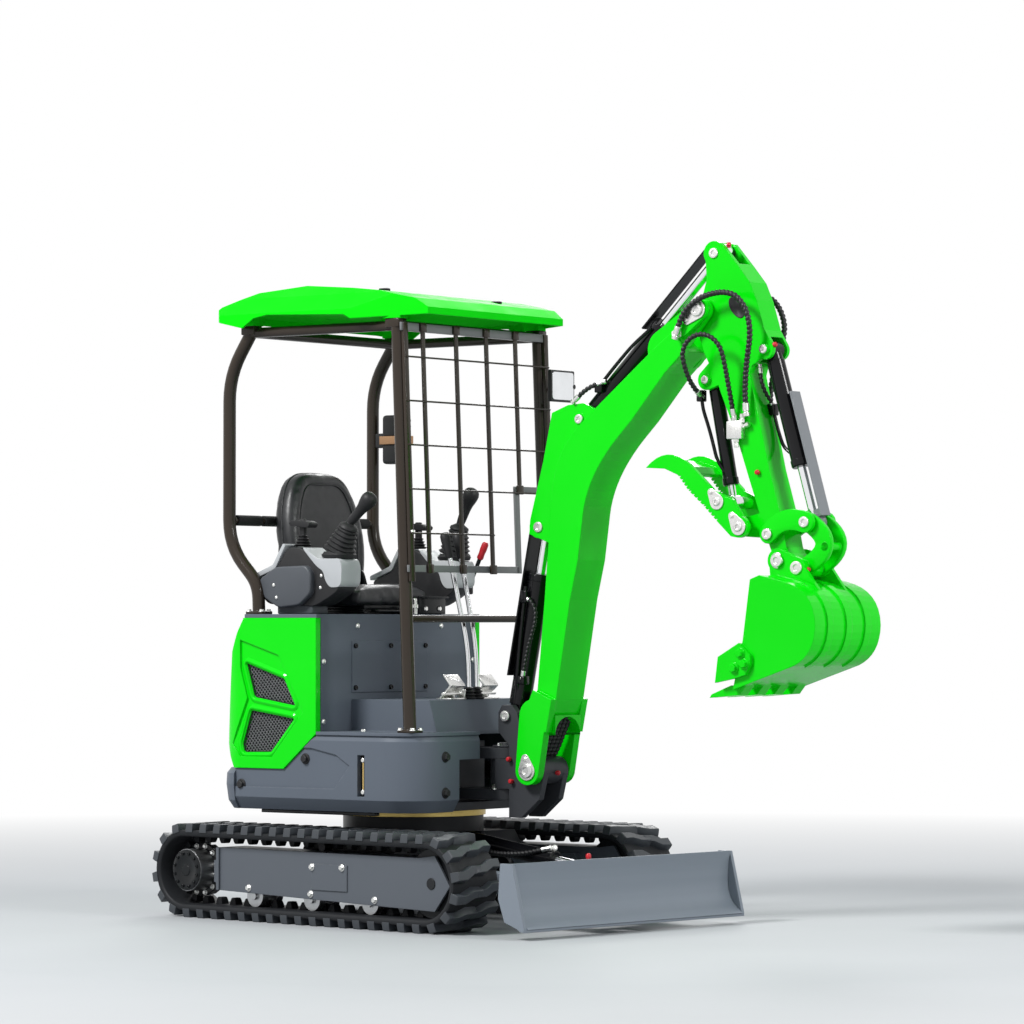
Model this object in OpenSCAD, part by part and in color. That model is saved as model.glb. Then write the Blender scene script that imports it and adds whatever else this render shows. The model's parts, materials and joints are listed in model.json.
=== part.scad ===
// Mini excavator with canopy, rubber tracks, dozer blade, thumb and digging bucket.
// Millimetres. X runs forward along the tracks, Y to the left, Z up, ground at Z = 0.
// The lower part is drawn about the slew axis, the upper part in the turned house frame.

/* [Stance] */
// slew axis along X, so that the whole machine is centred on the origin
slew_x = -577; // [-700:1:-400]
// how far the upper part stands turned to the left
slew_rest = 6; // [0:1:20]

/* [Tracks] */
// distance between the sprocket axis and the idler axis
tumbler_span = 1250; // [1000:5:1500]
// outer radius of the rubber belt without its lugs
belt_r = 150; // [120:1:180]
// thickness of the belt
belt_t = 24; // [15:1:35]
// width of each belt
belt_w = 230; // [180:5:300]
// height of the lugs
lug_h = 25; // [10:1:40]
// lugs around each belt
lug_count = 46; // [36:1:60]
// width of the machine over its tracks
width_over = 1180; // [980:5:1400]

/* [House] */
// half width of the house
house_half = 490; // [400:5:600]
// rear of the house
house_rear = -545; // [-600:5:-500]
// corner radius of the house at the rear
rear_r = 110; // [60:5:150]
// corner radius of the house at the front
front_r = 165; // [100:5:200]
// front of the house
house_front = 400; // [300:5:500]
// underside of the house
house_bottom = 410; // [380:2:450]
// height of the operator's floor
floor_z = 700; // [600:5:800]
// top of the engine covers
cover_top = 1115; // [1000:5:1200]
// front of the engine box
bulkhead_x = -65; // [-150:5:50]
// thickness of the house panels
panel_t = 26; // [10:1:40]

/* [Canopy] */
// radius of the canopy tubes
tube_r = 24; // [15:1:35]
// half distance between the posts
post_half = 425; // [380:1:480]
// height of the roof edge
roof_edge_z = 2190; // [2000:10:2300]
// crown of the roof
roof_top_z = 2343; // [2200:1:2400]
// half width of the roof
roof_half = 500; // [400:5:600]

/* [Digging arm] */
// width of the boom box
boom_w = 168; // [120:2:220]
// width of the arm
arm_w = 106; // [80:2:140]
// width of the bucket
bucket_w = 420; // [300:10:600]
// radius of the main pins
pin_r = 19; // [12:1:30]

/* [Hidden] */
$fn = 48;
run = 0.05;
gap = 0.3;
track_z = belt_r + lug_h;
track_y = width_over / 2 - belt_w / 2;
ring_in = belt_r - belt_t;
swing_x = 440;
boom_foot = [614, 561];
boom_cyl_low = [490, 757];
boom_cyl_top = [626, 1445];
arm_cyl_low = [812, 1833];
arm_cyl_top = [1395, 2403];
arm_pivot = [1357, 2202];
thumb_cyl_top = [1363, 1956];
thumb_cyl_low = [1445, 1522];
thumb_pivot = [1536, 1433];
bucket_cyl_top = [1610, 2055];
link_pin = [1787, 1447];
tip_pin = [1635, 1407];
bucket_pivot = [1690, 1314];
bucket_pin = [1767, 1288];
blade_pivot = [330, 190];
blade_cyl_rear = [296, 300];
blade_cyl_front = [900, 215];
swing_cyl_rear = [-40, 330];
swing_cyl_front = [466, 148];
swing_cyl_z = 545;
deck_t = 30;
lid_hinge = [-418, 1085];
post_foot_x = 322;
post_top_x = 263;
// half width of a track frame, its plates and the rail beside it
frame_half = 72;
plate_t = 10;
rail_t = 30;
frame_top = track_z + 89;
// inner half width of the engine box and the side slots of the vents
inner_half = house_half - panel_t;
// where the front of the house makes room for the swinging boom
bay_x = 335;
bay_right = -113;
bay_left = 325;

// Names of the separate pieces, one file each.

// Placing helpers.
module lower() { translate([slew_x, 0, 0]) children(); }
module upper() { translate([slew_x, 0, 0]) rotate([0, 0, slew_rest]) children(); }

// A flat outline in X and Z, as thick as w, centred on y.
module slab(w, y = 0) {
    translate([0, y + w / 2, 0]) rotate([90, 0, 0]) linear_extrude(w) children();
}
module pair(w, y) { slab(w, y) children(); slab(w, -y) children(); }
module at2(p) { translate(p) children(); }
module pin(p, r, w, y = 0) { slab(w, y) at2(p) circle(r); }
module bore(p, r) { slab(2000) at2(p) circle(r); }

// A link outline with a round end about each of two points.
module strap(a, ra, b, rb) {
    d = norm(b - a);
    t = atan2(b[1] - a[1], b[0] - a[0]);
    o = acos((ra - rb) / d);
    at2(a) circle(ra);
    at2(b) circle(rb);
    polygon([a + ra * [cos(t + o), sin(t + o)], a + ra * [cos(t - o), sin(t - o)],
             b + rb * [cos(t - o), sin(t - o)], b + rb * [cos(t + o), sin(t + o)]]);
}

// Points along a smooth bend from a to b that leaves and meets its ends towards c.
function bend(a, c, b, n = 8) =
    [for (i = [0 : n]) let (t = i / n) (1 - t) * (1 - t) * a + 2 * t * (1 - t) * c + t * t * b];

// A round bar between two points in space, and a bent tube through a list of points.
module rod(p, q, r) {
    d = q - p;
    l = norm(d);
    translate(p) rotate([0, acos(d[2] / l), atan2(d[1], d[0])]) cylinder(r = r, h = l);
}
module tube(pts, r) {
    for (i = [0 : len(pts) - 2]) rod(pts[i], pts[i + 1], r);
    for (i = [1 : len(pts) - 2]) translate(pts[i]) sphere(r * 1.03);
}
module block(p, q) { translate(p) cube(q - p); }

// A frame whose X axis runs from a to b in the X Z plane.
module along(a, b) {
    translate([a[0], 0, a[1]]) rotate([0, -atan2(b[1] - a[1], b[0] - a[0]), 0]) children();
}
module xcyl(x0, x1, r) { translate([x0, 0, 0]) rotate([0, 90, 0]) cylinder(r = r, h = x1 - x0); }
module ycyl(r, w) { translate([0, w / 2, 0]) rotate([90, 0, 0]) cylinder(r = r, h = w); }

// Hydraulic cylinder drawn along X from its lower eye.
module barrel(length, r, rod_r, eye_r, eye_w, start) {
    difference() {
        union() {
            ycyl(eye_r, eye_w);
            xcyl(0, start + 12, min(r, eye_w / 2));
            xcyl(start, length, r);
            xcyl(length - 26, length - 4, r + 3);
        }
        ycyl(pin_r + run, 2 * eye_w);
        xcyl(start + 16, length + 5, rod_r + run);
    }
}
module piston_rod(from, to, rod_r, eye_r, eye_w) {
    xcyl(from, to, rod_r);
    ycyl_at(to, eye_r, eye_w);
}
// Flat guard that a rod's eye carries along the outside of its barrel.
module rod_guard(length, reach, z, w, t = 6) {
    block([length - reach, -w / 2, z], [length - 12, w / 2, z + t]);
    block([length - 40, -w / 2 + 10, 15], [length - 12, w / 2 - 10, z + t]);
}
module ycyl_at(x, r, w) { translate([x, 0, 0]) ycyl(r, w); }

// Lower part.
module centre_frame() {
    leg_y = track_y - frame_half - rail_t;
    color("dimgray") lower() difference() {
        union() {
            slab(680) polygon([[-215, 130], [215, 130], [240, 190], [240, 260], [200, 322],
                               [-200, 322], [-240, 260], [-240, 190]]);
            for (x = [-200, 80]) block([x, -leg_y, 130], [x + 120, leg_y, 245]);
            translate([0, 0, 322]) cylinder(r = 262, h = 385 - 322 - gap);
            for (y = [-235, -145, 145, 235]) slab(24, y)
                strap([225, 190], 45, blade_pivot, 42);
            for (y = [-190, 190]) pin(blade_pivot, pin_r, 114, y);
            for (y = [-44, 44]) slab(20, y) strap([225, 285], 25, blade_cyl_rear, 30);
            pin(blade_cyl_rear, pin_r, 108);
            block([-330, -60, 180], [-225, 60, 205]);
        }
        translate([-285, 0, 150]) cylinder(r = 17.5, h = 80);
    }
}

// Outline of a race track shape of radius r about the two track axes.
module loop(r) {
    for (x = [-1, 1]) translate([x * tumbler_span / 2, track_z]) circle(r);
    translate([-tumbler_span / 2, track_z - r]) square([tumbler_span, 2 * r]);
}
loop_len = 2 * tumbler_span + 2 * PI * belt_r;
// Moves children to a place s along the belt, with X pointing outward.
module on_loop(s) {
    arc = PI * belt_r;
    h = tumbler_span / 2;
    if (s < tumbler_span)
        translate([s - h, track_z]) rotate(-90) children();
    else if (s < tumbler_span + arc)
        translate([h, track_z]) rotate(-90 + (s - tumbler_span) / arc * 180) children();
    else if (s < 2 * tumbler_span + arc)
        translate([h - (s - tumbler_span - arc), track_z]) rotate(90) children();
    else
        translate([-h, track_z]) rotate(90 + (s - 2 * tumbler_span - arc) / arc * 180) children();
}
module lugs(shift) {
    for (i = [0 : lug_count - 1]) on_loop((i + shift) * loop_len / lug_count)
        polygon([[belt_r - 3, -23], [track_z, -14], [track_z, 14], [belt_r - 3, 23]]);
}
module drive_lugs() {
    for (i = [0 : lug_count - 1]) on_loop((i + 0.25) * loop_len / lug_count)
        polygon([[ring_in + 2, -17], [ring_in - 26, -9], [ring_in - 26, 9], [ring_in + 2, 17]]);
}
module half_belt(shift) {
    difference() {
        union() {
            loop(belt_r);
            lugs(shift);
        }
        loop(ring_in);
    }
}
module track(s) {
    half = belt_w / 2;
    color("black") lower() {
        slab(half, s * (track_y + half / 2)) half_belt(0.25);
        slab(half, s * (track_y - half / 2)) half_belt(0.75);
        slab(36, s * track_y) drive_lugs();
    }
}

// Side frame: an upside-down channel with a fork for the idler.
module track_frame(s) {
    sp = tumbler_span / 2;
    outer = track_y + frame_half;
    color("dimgray") lower() difference() {
        union() {
            slab(2 * frame_half, s * track_y)
                polygon([[-sp + 144, frame_top], [-sp + 144, 106], [sp + 17, 77], [sp + 91, 168],
                         [sp + 17, frame_top + 10], [sp - 60, frame_top]]);
            slab(rail_t, s * (track_y - frame_half - rail_t / 2))
                polygon([[-sp + 185, 240], [-sp + 185, 110], [sp - 65, 110], [sp - 155, 240]]);
            slab(2 * frame_half, s * track_y)
                polygon([[-sp + 125, 215], [-sp + 125, 135], [-sp + 200, 120], [-sp + 200, 230]]);
            // cover of the grease valve, and the upright flange at the rear
            slab(4, s * (outer + 2)) translate([20, 128]) square([185, 95]);
            slab(8, s * (outer + 4)) translate([-sp + 144, 106]) square([14, frame_top - 106]);
        }
        slab(2 * (frame_half - plate_t), s * track_y)
            polygon([[-sp + 205, 30], [sp + 200, 30], [sp + 200, 330], [sp - 135, 330],
                     [sp - 135, frame_top - 26], [-sp + 205, frame_top - 26]]);
        slab(400, s * track_y) at2([sp, track_z]) circle(20 + run);
    }
}
module idler(s) {
    c = [tumbler_span / 2, track_z];
    color("gray") lower() {
        for (y = [-38, 38]) pin(c, ring_in - gap, 32, s * track_y + y);
        pin(c, ring_in - 30, 60, s * track_y);
        pin(c, 34, 122, s * track_y);
        pin(c, 20, 150, s * track_y);
    }
}
module sprocket(s) {
    c = [-tumbler_span / 2, track_z];
    color("gray") lower() {
        slab(32, s * track_y) at2(c) {
            circle(84);
            for (i = [0 : 11]) rotate(i * 30) translate([80, -13]) square([ring_in - 26 - 81, 26]);
        }
        pin(c, 78, 88, s * (track_y + 50));
        pin(c, 70, 60, s * (track_y - 36));
        slab(60, s * (track_y - 36)) translate([c[0] - 15, 140]) square([140, 70]);
    }
}
module rollers(s) {
    low = track_z - ring_in;
    top = track_z + ring_in;
    top_r = 17;
    color("gray") lower() {
        for (x = [-300, 0, 300]) {
            for (y = [-36, 36]) pin([x, low + 42], 42 - gap, 32, s * track_y + y);
            pin([x, low + 42], 14, 2 * (frame_half - plate_t) - gap, s * track_y);
        }
        pin([60, top - top_r], top_r - gap, 38, s * (track_y + 41));
        slab(20, s * (track_y + 41)) translate([50, frame_top + gap])
            square([20, top - top_r - frame_top]);
    }
}

// Dozer blade with its two arms.
module blade() {
    color("dimgray") lower() difference() {
        union() {
            slab(width_over) polygon([[1056, 263], [1042, 200], [1044, 130], [1066, 75], [1113, 40],
                [1113, 28], [1095, 30], [1046, 66], [1022, 125], [1020, 205], [1034, 263]]);
            for (s = [-1, 1]) slab(14, s * (width_over / 2 - 7))
                polygon([[1056, 263], [1113, 40], [1113, 28], [1020, 60], [990, 140], [1000, 263]]);
            for (y = [-190, 190]) slab(62, y) difference() {
                union() {
                    strap(blade_pivot, 40, [560, 165], 38);
                    strap([560, 165], 38, [1000, 140], 38);
                }
            }
            block([880, -210, 110], [930, 210, 180]);
            for (y = [-44, 44]) slab(20, y) {
                strap(blade_cyl_front, 32, [905, 150], 36);
                polygon([[900, 120], [1030, 110], [1030, 230], [915, 240]]);
            }
        }
        bore(blade_pivot, pin_r + run);
    }
}
module blade_barrel() {
    color("black") lower() along(blade_cyl_rear, blade_cyl_front) barrel(430, 30, 17, 32, 66, 40);
}
module blade_rod() {
    l = norm(blade_cyl_front - blade_cyl_rear);
    color("silver") lower() along(blade_cyl_rear, blade_cyl_front) piston_rod(230, l, 17, 28, 62);
}

// House.
module slew_ring() {
    color("goldenrod") upper() translate([0, 0, 385]) cylinder(r = 270, h = house_bottom - 385);
}
// Plan outline of the house, drawn in by a distance.
module plan(inset) {
    rr = rear_r - inset;
    rf = front_r - inset;
    y = house_half - rear_r;
    yf = house_half - front_r;
    x0 = house_rear + rear_r;
    x1 = house_front - front_r;
    for (s = [-1, 1]) {
        translate([x0, s * y]) circle(rr);
        translate([x1, s * yf]) circle(rf);
    }
    translate([house_rear + inset, -y]) square([rear_r, 2 * y]);
    translate([x0, -house_half + inset]) square([x1 - x0, 2 * (house_half - inset)]);
    translate([x1, -yf]) square([front_r - inset, 2 * yf]);
}
// Runs a profile round the plan: its X points outward from the outline, its Y up.
module corner(x, y, r, a) {
    translate([x, y, 0]) rotate(a) rotate_extrude(angle = 90) translate([r, 0]) children();
}
module straight(p, a, length) {
    translate([p[0], p[1], 0]) rotate(a) rotate([90, 0, 0]) linear_extrude(length) children();
}
module around_plan() {
    x0 = house_rear + rear_r;
    x1 = house_front - front_r;
    y0 = house_half - rear_r;
    y1 = house_half - front_r;
    corner(x0, -y0, rear_r, 180) children();
    corner(x0, y0, rear_r, 90) children();
    corner(x1, -y1, front_r, 270) children();
    corner(x1, y1, front_r, 0) children();
    straight([x1, -house_half], -90, x1 - x0) children();
    straight([x0, house_half], 90, x1 - x0) children();
    straight([house_rear, -y0], 180, 2 * y0) children();
    straight([house_front, y1], 0, 2 * y1) children();
}
module deck() {
    color("dimgray") upper() difference() {
        union() {
            translate([0, 0, house_bottom]) linear_extrude(deck_t) intersection() {
                plan(panel_t + 30 + gap);
                translate([tail_x, -600]) square([bay_x - 5 - tail_x, 1200]);
            }
            for (z = [450, 600]) translate([0, 0, z]) linear_extrude(40) {
                translate([swing_x, 0]) circle(72);
                translate([240, -72]) square([swing_x - 240, 144]);
            }
            block([225, -110, house_bottom + deck_t], [250, 110, 660]);
            block([100, -12, house_bottom + deck_t], [230, 12, 640]);
            for (z = [swing_cyl_z - 62, swing_cyl_z + 38])
                block([-100, swing_cyl_rear[1] - 45, z], [0, swing_cyl_rear[1] + 45, z + 24]);
            block([-120, swing_cyl_rear[1] - 45, house_bottom + 10],
                  [-96, swing_cyl_rear[1] + 45, swing_cyl_z + 62]);
            translate([swing_cyl_rear[0], swing_cyl_rear[1], swing_cyl_z - 60])
                cylinder(r = pin_r, h = 120);
        }
        translate([swing_x, 0, 400]) cylinder(r = 30 + run, h = 300);
    }
}
// Where the counterweight meets the side skirts.
tail_x = -455;
module counterweight() {
    z = house_bottom;
    color("dimgray") upper() intersection() {
        around_plan() polygon([[-20, z], [0, z + 30], [8, z + 90], [6, z + 130], [-10, z + 150],
                               [house_rear - tail_x, z + 150], [house_rear - tail_x, z]]);
        block([-700, -700, 0], [tail_x, 700, 2000]);
    }
}
module skirt(s) {
    z = house_bottom;
    top = floor_z - 12;
    color("dimgray") upper() difference() {
        around_plan() polygon([[-30, z], [0, z + 45], [0, top - 20], [-8, top], [-panel_t, top],
                               [-panel_t, z + 50], [-panel_t - 30, z]]);
        block([-800, -700, 0], [tail_x + gap, 700, 2000]);
        block([-800, s > 0 ? -700 : -1, 0], [800, s > 0 ? 1 : 700, 2000]);
        block([house_front - front_r, bay_right, 0], [800, bay_left, 2000]);
        // notch at the front for the swing lugs
        block([house_front - front_r + 60, -235, 0], [800, bay_right + 1, 600]);
        block([-800, -700, z + 150], [-232, 700, 2000]);
        slab(1600) polygon([[-240, 800], [-240, z + 150], [-222, z + 150], [-62, top + 3],
                            [-62, 800]]);
        // slot of the level gauge and the sunken field below the cover
        slab(60, s * house_half) translate([130, 468]) square([33, 150]);
        slab(14, s * house_half) polygon([[-500, 492], [20, 493], [92, 578], [28, 617], [-90, 640],
                                          [-300, 640], [-500, 580]]);
    }
}
// Engine box: outline of its rear in X and Z, upright sides.
rear_line = [[-462, 500], [-462, 561], [-486, 600], [-508, 652], [-476, 990], [-446, 1060],
             [-416, 1111], [-416, 1250]];
module engine_form(d) {
    intersection() {
        translate([0, 0, 500]) linear_extrude(750) plan(d);
        slab(1600) polygon(concat([for (p = rear_line) p + [d, 0]], [[100, 1250], [100, 500]]));
    }
}
vent_upper = [[-406, 949], [-223, 891], [-170, 793], [-367, 823]];
vent_lower = [[-382, 775], [-174, 745], [-285, 622], [-416, 619], [-424, 650]];
vent_field = [[-431, 1034], [-247, 979], [-203, 902], [-127, 771], [-275, 604], [-430, 604],
              [-470, 650], [-396, 819], [-430, 930]];
module cover(s) {
    y = s * house_half;
    color("limegreen") upper() difference() {
        intersection() {
            engine_form(0);
            slab(1600) polygon([[-700, 561], [-222, 561], [bulkhead_x - 1, 692],
                                [bulkhead_x - 1, cover_top], [-700, cover_top]]);
        }
        translate([0, 0, -1]) engine_form(panel_t);
        block([-800, s > 0 ? -700 : -330, 0], [-300, s > 0 ? 330 : 700, 2000]);
        block([-800, s > 0 ? -700 : 0, 0], [100, s > 0 ? 0 : 700, 2000]);
        slab(16, y) polygon(vent_field);
        slab(120, y) {
            polygon(vent_upper);
            polygon(vent_lower);
        }
    }
}
module bonnet() {
    h = lid_hinge;
    color("limegreen") upper() {
        difference() {
            intersection() {
                engine_form(0);
                block([-700, -324, 566], [-300, 324, h[1]]);
            }
            translate([0, 0, -1]) engine_form(panel_t);
            block([h[0] + 7, -330, h[1] - 40], [-300, 330, 1200]);
            for (z = [700 : 50 : 850]) block([-600, -190, z], [-400, 190, z + 22]);
        }
        for (y = [-200, 200]) pin(h, 7.5, 60, y);
    }
}
// Black plates behind the vents of both covers.
module vent_panels() {
    color("black") upper() for (s = [-1, 1]) slab(4, s * (inner_half - gap - 2))
        polygon([[-430, 965], [-200, 905], [-150, 780], [-150, 730], [-270, 605], [-430, 605]]);
}
module seat_box() {
    color("dimgray") upper() {
        block([bulkhead_x - 20, -inner_half + 2, floor_z], [bulkhead_x, inner_half - 2, cover_top]);
        block([bulkhead_x, -285, 840], [bulkhead_x + 3, 165, 1030]);
        translate([0, 0, cover_top]) linear_extrude(14) intersection() {
            plan(2);
            translate([lid_hinge[0] + 7.8, -700]) square([bulkhead_x - lid_hinge[0] - 7.8, 1400]);
        }
        block([lid_hinge[0] + 7.8, -325, 1040], [lid_hinge[0] + 48, 325, cover_top]);
    }
}
module floor_plate() {
    color("dimgray") upper() {
        translate([0, 0, floor_z - 12]) linear_extrude(12) {
            difference() {
                intersection() {
                    plan(0);
                    translate([bulkhead_x, -700]) square([800, 1400]);
                }
                translate([bay_x, bay_right]) square([200, bay_left - bay_right]);
            }
            translate([bulkhead_x - 20, -inner_half + 2]) square([30, 2 * inner_half - 4]);
        }
        // raised platform for the feet
        slab(570) polygon([[bulkhead_x + gap, floor_z], [bay_x, floor_z], [300, 815],
                           [bulkhead_x + gap, 815]]);
    }
}
module engine() {
    color("gray") upper() block([-420, -250, house_bottom + deck_t], [-150, 250, 900]);
}
module seat() {
    base = cover_top + 14;
    color("black") upper() {
        block([-410, -150, base], [-110, 150, base + 31]);
        block([-440, -225, base + 31], [-85, 225, base + 121]);
        slab(440) polygon([[-440, 1240], [-345, 1240], [-415, 1672], [-495, 1650]]);
    }
}
console_y = 345;
console_w = 108;
console_top = 1330;
pod_t = 24;
lever_z = 1385;
module console(s) {
    base = cover_top + 14;
    color("dimgray") upper() {
        block([-340, s * console_y - 50, base], [-160, s * console_y + 50, 1180]);
        slab(console_w, s * console_y)
            polygon([[-440, 1262], [-336, 1300], [-282, lever_z], [-215, lever_z], [-129, console_top],
                     [28, console_top], [34, 1290], [20, 1236], [-48, 1205], [-150, 1155], [-380, 1165]]);
        slab(pod_t, s * (console_y + (console_w + pod_t) / 2))
            polygon([[-290, 1300], [-165, 1306], [-145, 1286], [-145, 1218], [-186, 1163], [-292, 1156],
                     [-353, 1189], [-350, 1240]]);
    }
}
// Bellows, stick and grip, leaning forward.
module joystick(x, y, lean) {
    translate([x, y, console_top + gap]) cylinder(r = 34, h = 24);
    translate([x, y, console_top + 29]) rotate([0, lean, 0]) {
        rotate_extrude() polygon(concat([[0, 0]],
            [for (i = [0 : 9]) [(i % 2 ? 46 : 56) - 2.6 * i, 11 * i]], [[0, 99]]));
        cylinder(r = 13, h = 180);
        translate([0, 0, 175]) rotate_extrude()
            polygon(concat([[0, 0], [15, 0]], bend([20, 15], [27, 50], [0, 62], 6)));
    }
}
module joysticks() {
    lock_y = console_y + console_w / 2 + 8 + gap;
    color("black") upper() {
        joystick(-48, -console_y, 29);
        joystick(-35, console_y, 8);
        for (s = [-1, 1]) {
            rod([-249, s * console_y, lever_z + gap], [-249, s * console_y, 1470], 9);
            rod([-249, s * console_y - 40, 1470], [-249, s * console_y + 40, 1470], 13);
        }
        rod([-60, lock_y, 1225], [25, lock_y, 1400], 8);
    }
}
module travel_levers() {
    z = 815;
    color("silver") upper() for (s = [-1, 1]) {
        block([262, s * 24 - 17, z], [298, s * 24 + 17, z + 14]);
        tube([[280, s * 24, z + 8], [276, s * 24, 1000], [196, s * 34, 1345]], 9);
        rod([198, s * 34, 1335], [176, s * 38, 1430], 18);
        // folding pedal beside each lever
        block([225, s * 100 - 45, z], [290, s * 100 + 45, z + 8]);
        slab(80, s * 100) polygon([[232, z + 4], [240, z + 4], [290, 868], [250, 905], [246, 900],
                                   [278, 868]]);
    }
}
module canopy_frame() {
    color("black") upper() {
        for (y = [-post_half, post_half]) {
            tube([[-394, y, cover_top + 14], [-394, y, 1265], [-540, y, 1400], [-540, y, 2020],
                  [-424, y, roof_edge_z - 5]], tube_r);
            block([post_foot_x - 30, y - 26, floor_z], [post_foot_x + 30, y + 26, floor_z + 10]);
            on_posts() rod([0, y, 2], [0, y, post_len + 9], tube_r);
            rod([-424, y, roof_edge_z - 15], [post_top_x, y, roof_edge_z - 15], tube_r * 0.8);
        }
        for (x = [-424, post_top_x]) {
            rod([x, -post_half, roof_edge_z - 15], [x, post_half, roof_edge_z - 15], tube_r * 0.8);
            for (y = [-post_half, post_half])
                block([x - 40, y - 25, roof_edge_z - 25], [x + tube_r - 1, y + 25, roof_edge_z + 10]);
        }
        rod([-540, -post_half, 1480], [-540, post_half, 1480], 14);
        on_posts() rod([0, -post_half, 412], [0, post_half, 412], 14);
    }
}
// Roof shell: plan with drawn-in front corners, crown from the side and from the end.
roof_front = 392;
roof_rear = -556;
roof_nose = 410;
module roof_form(d) {
    e = roof_edge_z - 30;
    t = roof_top_z - d;
    h = roof_half - d;
    intersection() {
        translate([0, 0, e]) linear_extrude(roof_top_z - e)
            polygon([[roof_rear + d, -h + 30], [roof_rear + d + 30, -h], [100, -h],
                     [roof_front - d, -roof_nose + d], [roof_front - d, roof_nose - d], [100, h],
                     [roof_rear + d + 30, h], [roof_rear + d, h - 30]]);
        slab(3 * roof_half)
            polygon([[roof_rear + d, e], [roof_rear + d, t - 90], [roof_rear + d + 16, t - 70],
                     [-411, t - 19], [-200, t], [40, t - 20], [180, t - 36], [340, t - 70],
                     [roof_front - d, t - 105], [roof_front - d, e]]);
        rotate([90, 0, 90]) translate([0, 0, -700]) linear_extrude(1400)
            polygon([[-h, e], [h, e], [h, t - 103], [h - 60, t - 43], [h - 120, t], [-h + 120, t],
                     [-h + 60, t - 43], [-h, t - 103]]);
    }
}
module canopy_roof() {
    e = roof_edge_z;
    color("limegreen") upper() {
        difference() {
            roof_form(0);
            translate([0, 0, -1]) roof_form(9);
            // lower edge, hanging at the rear and stepped at the side
            slab(3 * roof_half)
                polygon([[roof_rear - 1, e - 50], [roof_rear - 1, e + 29], [-417, e - 2], [-360, e + 33],
                         [-295, e + 43], [70, e + 29], [101, e + 13], [roof_front + 1, e + 23],
                         [roof_front + 1, e - 50]]);
        }
        intersection() {
            roof_form(0);
            for (x = [-424, post_top_x], y = [-post_half, post_half])
                block([x - 45, y - 30, e + 10], [x + tube_r, y + 30, roof_top_z]);
        }
    }
}
// A frame at the foot of the front posts, leaning with them.
post_lean = atan((post_foot_x - post_top_x) / (roof_edge_z - floor_z));
post_len = norm([post_foot_x - post_top_x, roof_edge_z - floor_z]);
module on_posts() { translate([post_foot_x, 0, floor_z]) rotate([0, -post_lean, 0]) children(); }
module front_guard() {
    x = tube_r + 0.2;
    color("gray") upper() on_posts() {
        block([x, -post_half - 20, 1455], [x + 8, post_half + 20, 1485]);
        block([x, -post_half - 20, 580], [x + 8, 220, 605]);
        block([x, 205, 580], [x + 8, 235, 900]);
        block([x, 205, 880], [x + 8, post_half + 20, 905]);
        for (y = [-325, -129, 53, 232])
            block([x + 8, y - 11, y > 200 ? 880 : 580], [x + 14, y + 11, 1480]);
        for (z = [720, 880, 1040, 1200, 1360])
            rod([x + 17, -post_half, z], [x + 17, z < 800 ? 60 : post_half, z], 3.5);
        for (y = [-post_half, post_half])
            block([x, y - 12, y > 0 ? 880 : 580], [x + 13.6, y + 12, 1480]);
    }
}
module mirror() {
    color("black") upper() {
        rod([272, post_half + tube_r + 6.2, 1985], [402, post_half + tube_r + 6.2, 1985], 6);
        block([395, post_half - 113, 1925], [412, post_half + 33, 2045]);
    }
}
module lamp_box() {
    color("black") upper() block([-515.8, post_half - 30, 1710], [-405, post_half + 30, 1900]);
}

// Swing post that carries the boom.
module swing_post() {
    cheek = [[455, 770], [472, 797], [515, 797], [540, 770], [560, 700], [600, 605], [664, 552],
             [640, 455], [560, 388], [504, 388], [504, 650], [455, 700]];
    color("dimgray") upper() difference() {
        union() {
            translate([swing_x, 0, 491]) cylinder(r = 62, h = 108);
            translate([swing_x, 0, 448]) cylinder(r = 30, h = 194);
            slab(148) translate([swing_x, 491]) square([90, 108]);
            pair(28, 60) polygon(cheek);
            pair(25, 47.5) at2(boom_cyl_low) circle(38);
            slab(148) at2(boom_foot) circle(50);
            slab(100) polygon([[510, 497], [600, 517], [600, 600], [545, 655], [519, 676], [519, 596],
                               [510, 596]]);
            pin(boom_cyl_low, pin_r, 160);
            for (z = [491, 567]) translate([0, 0, z]) linear_extrude(32)
                strap([swing_x + 4, 30], 40, swing_cyl_front, 28);
        }
        bore(boom_foot, 24 + run);
    }
}
module swing_along() {
    d = swing_cyl_front - swing_cyl_rear;
    translate([swing_cyl_rear[0], swing_cyl_rear[1], swing_cyl_z])
        rotate([0, 0, atan2(d[1], d[0])]) rotate([90, 0, 0]) children();
}
module swing_barrel() {
    color("black") upper() swing_along() barrel(330, 34, 17, 32, 70, 40);
}
module swing_rod() {
    l = norm(swing_cyl_front - swing_cyl_rear);
    color("silver") upper() swing_along() piston_rod(205, l, 17, 26, 40);
}

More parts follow.
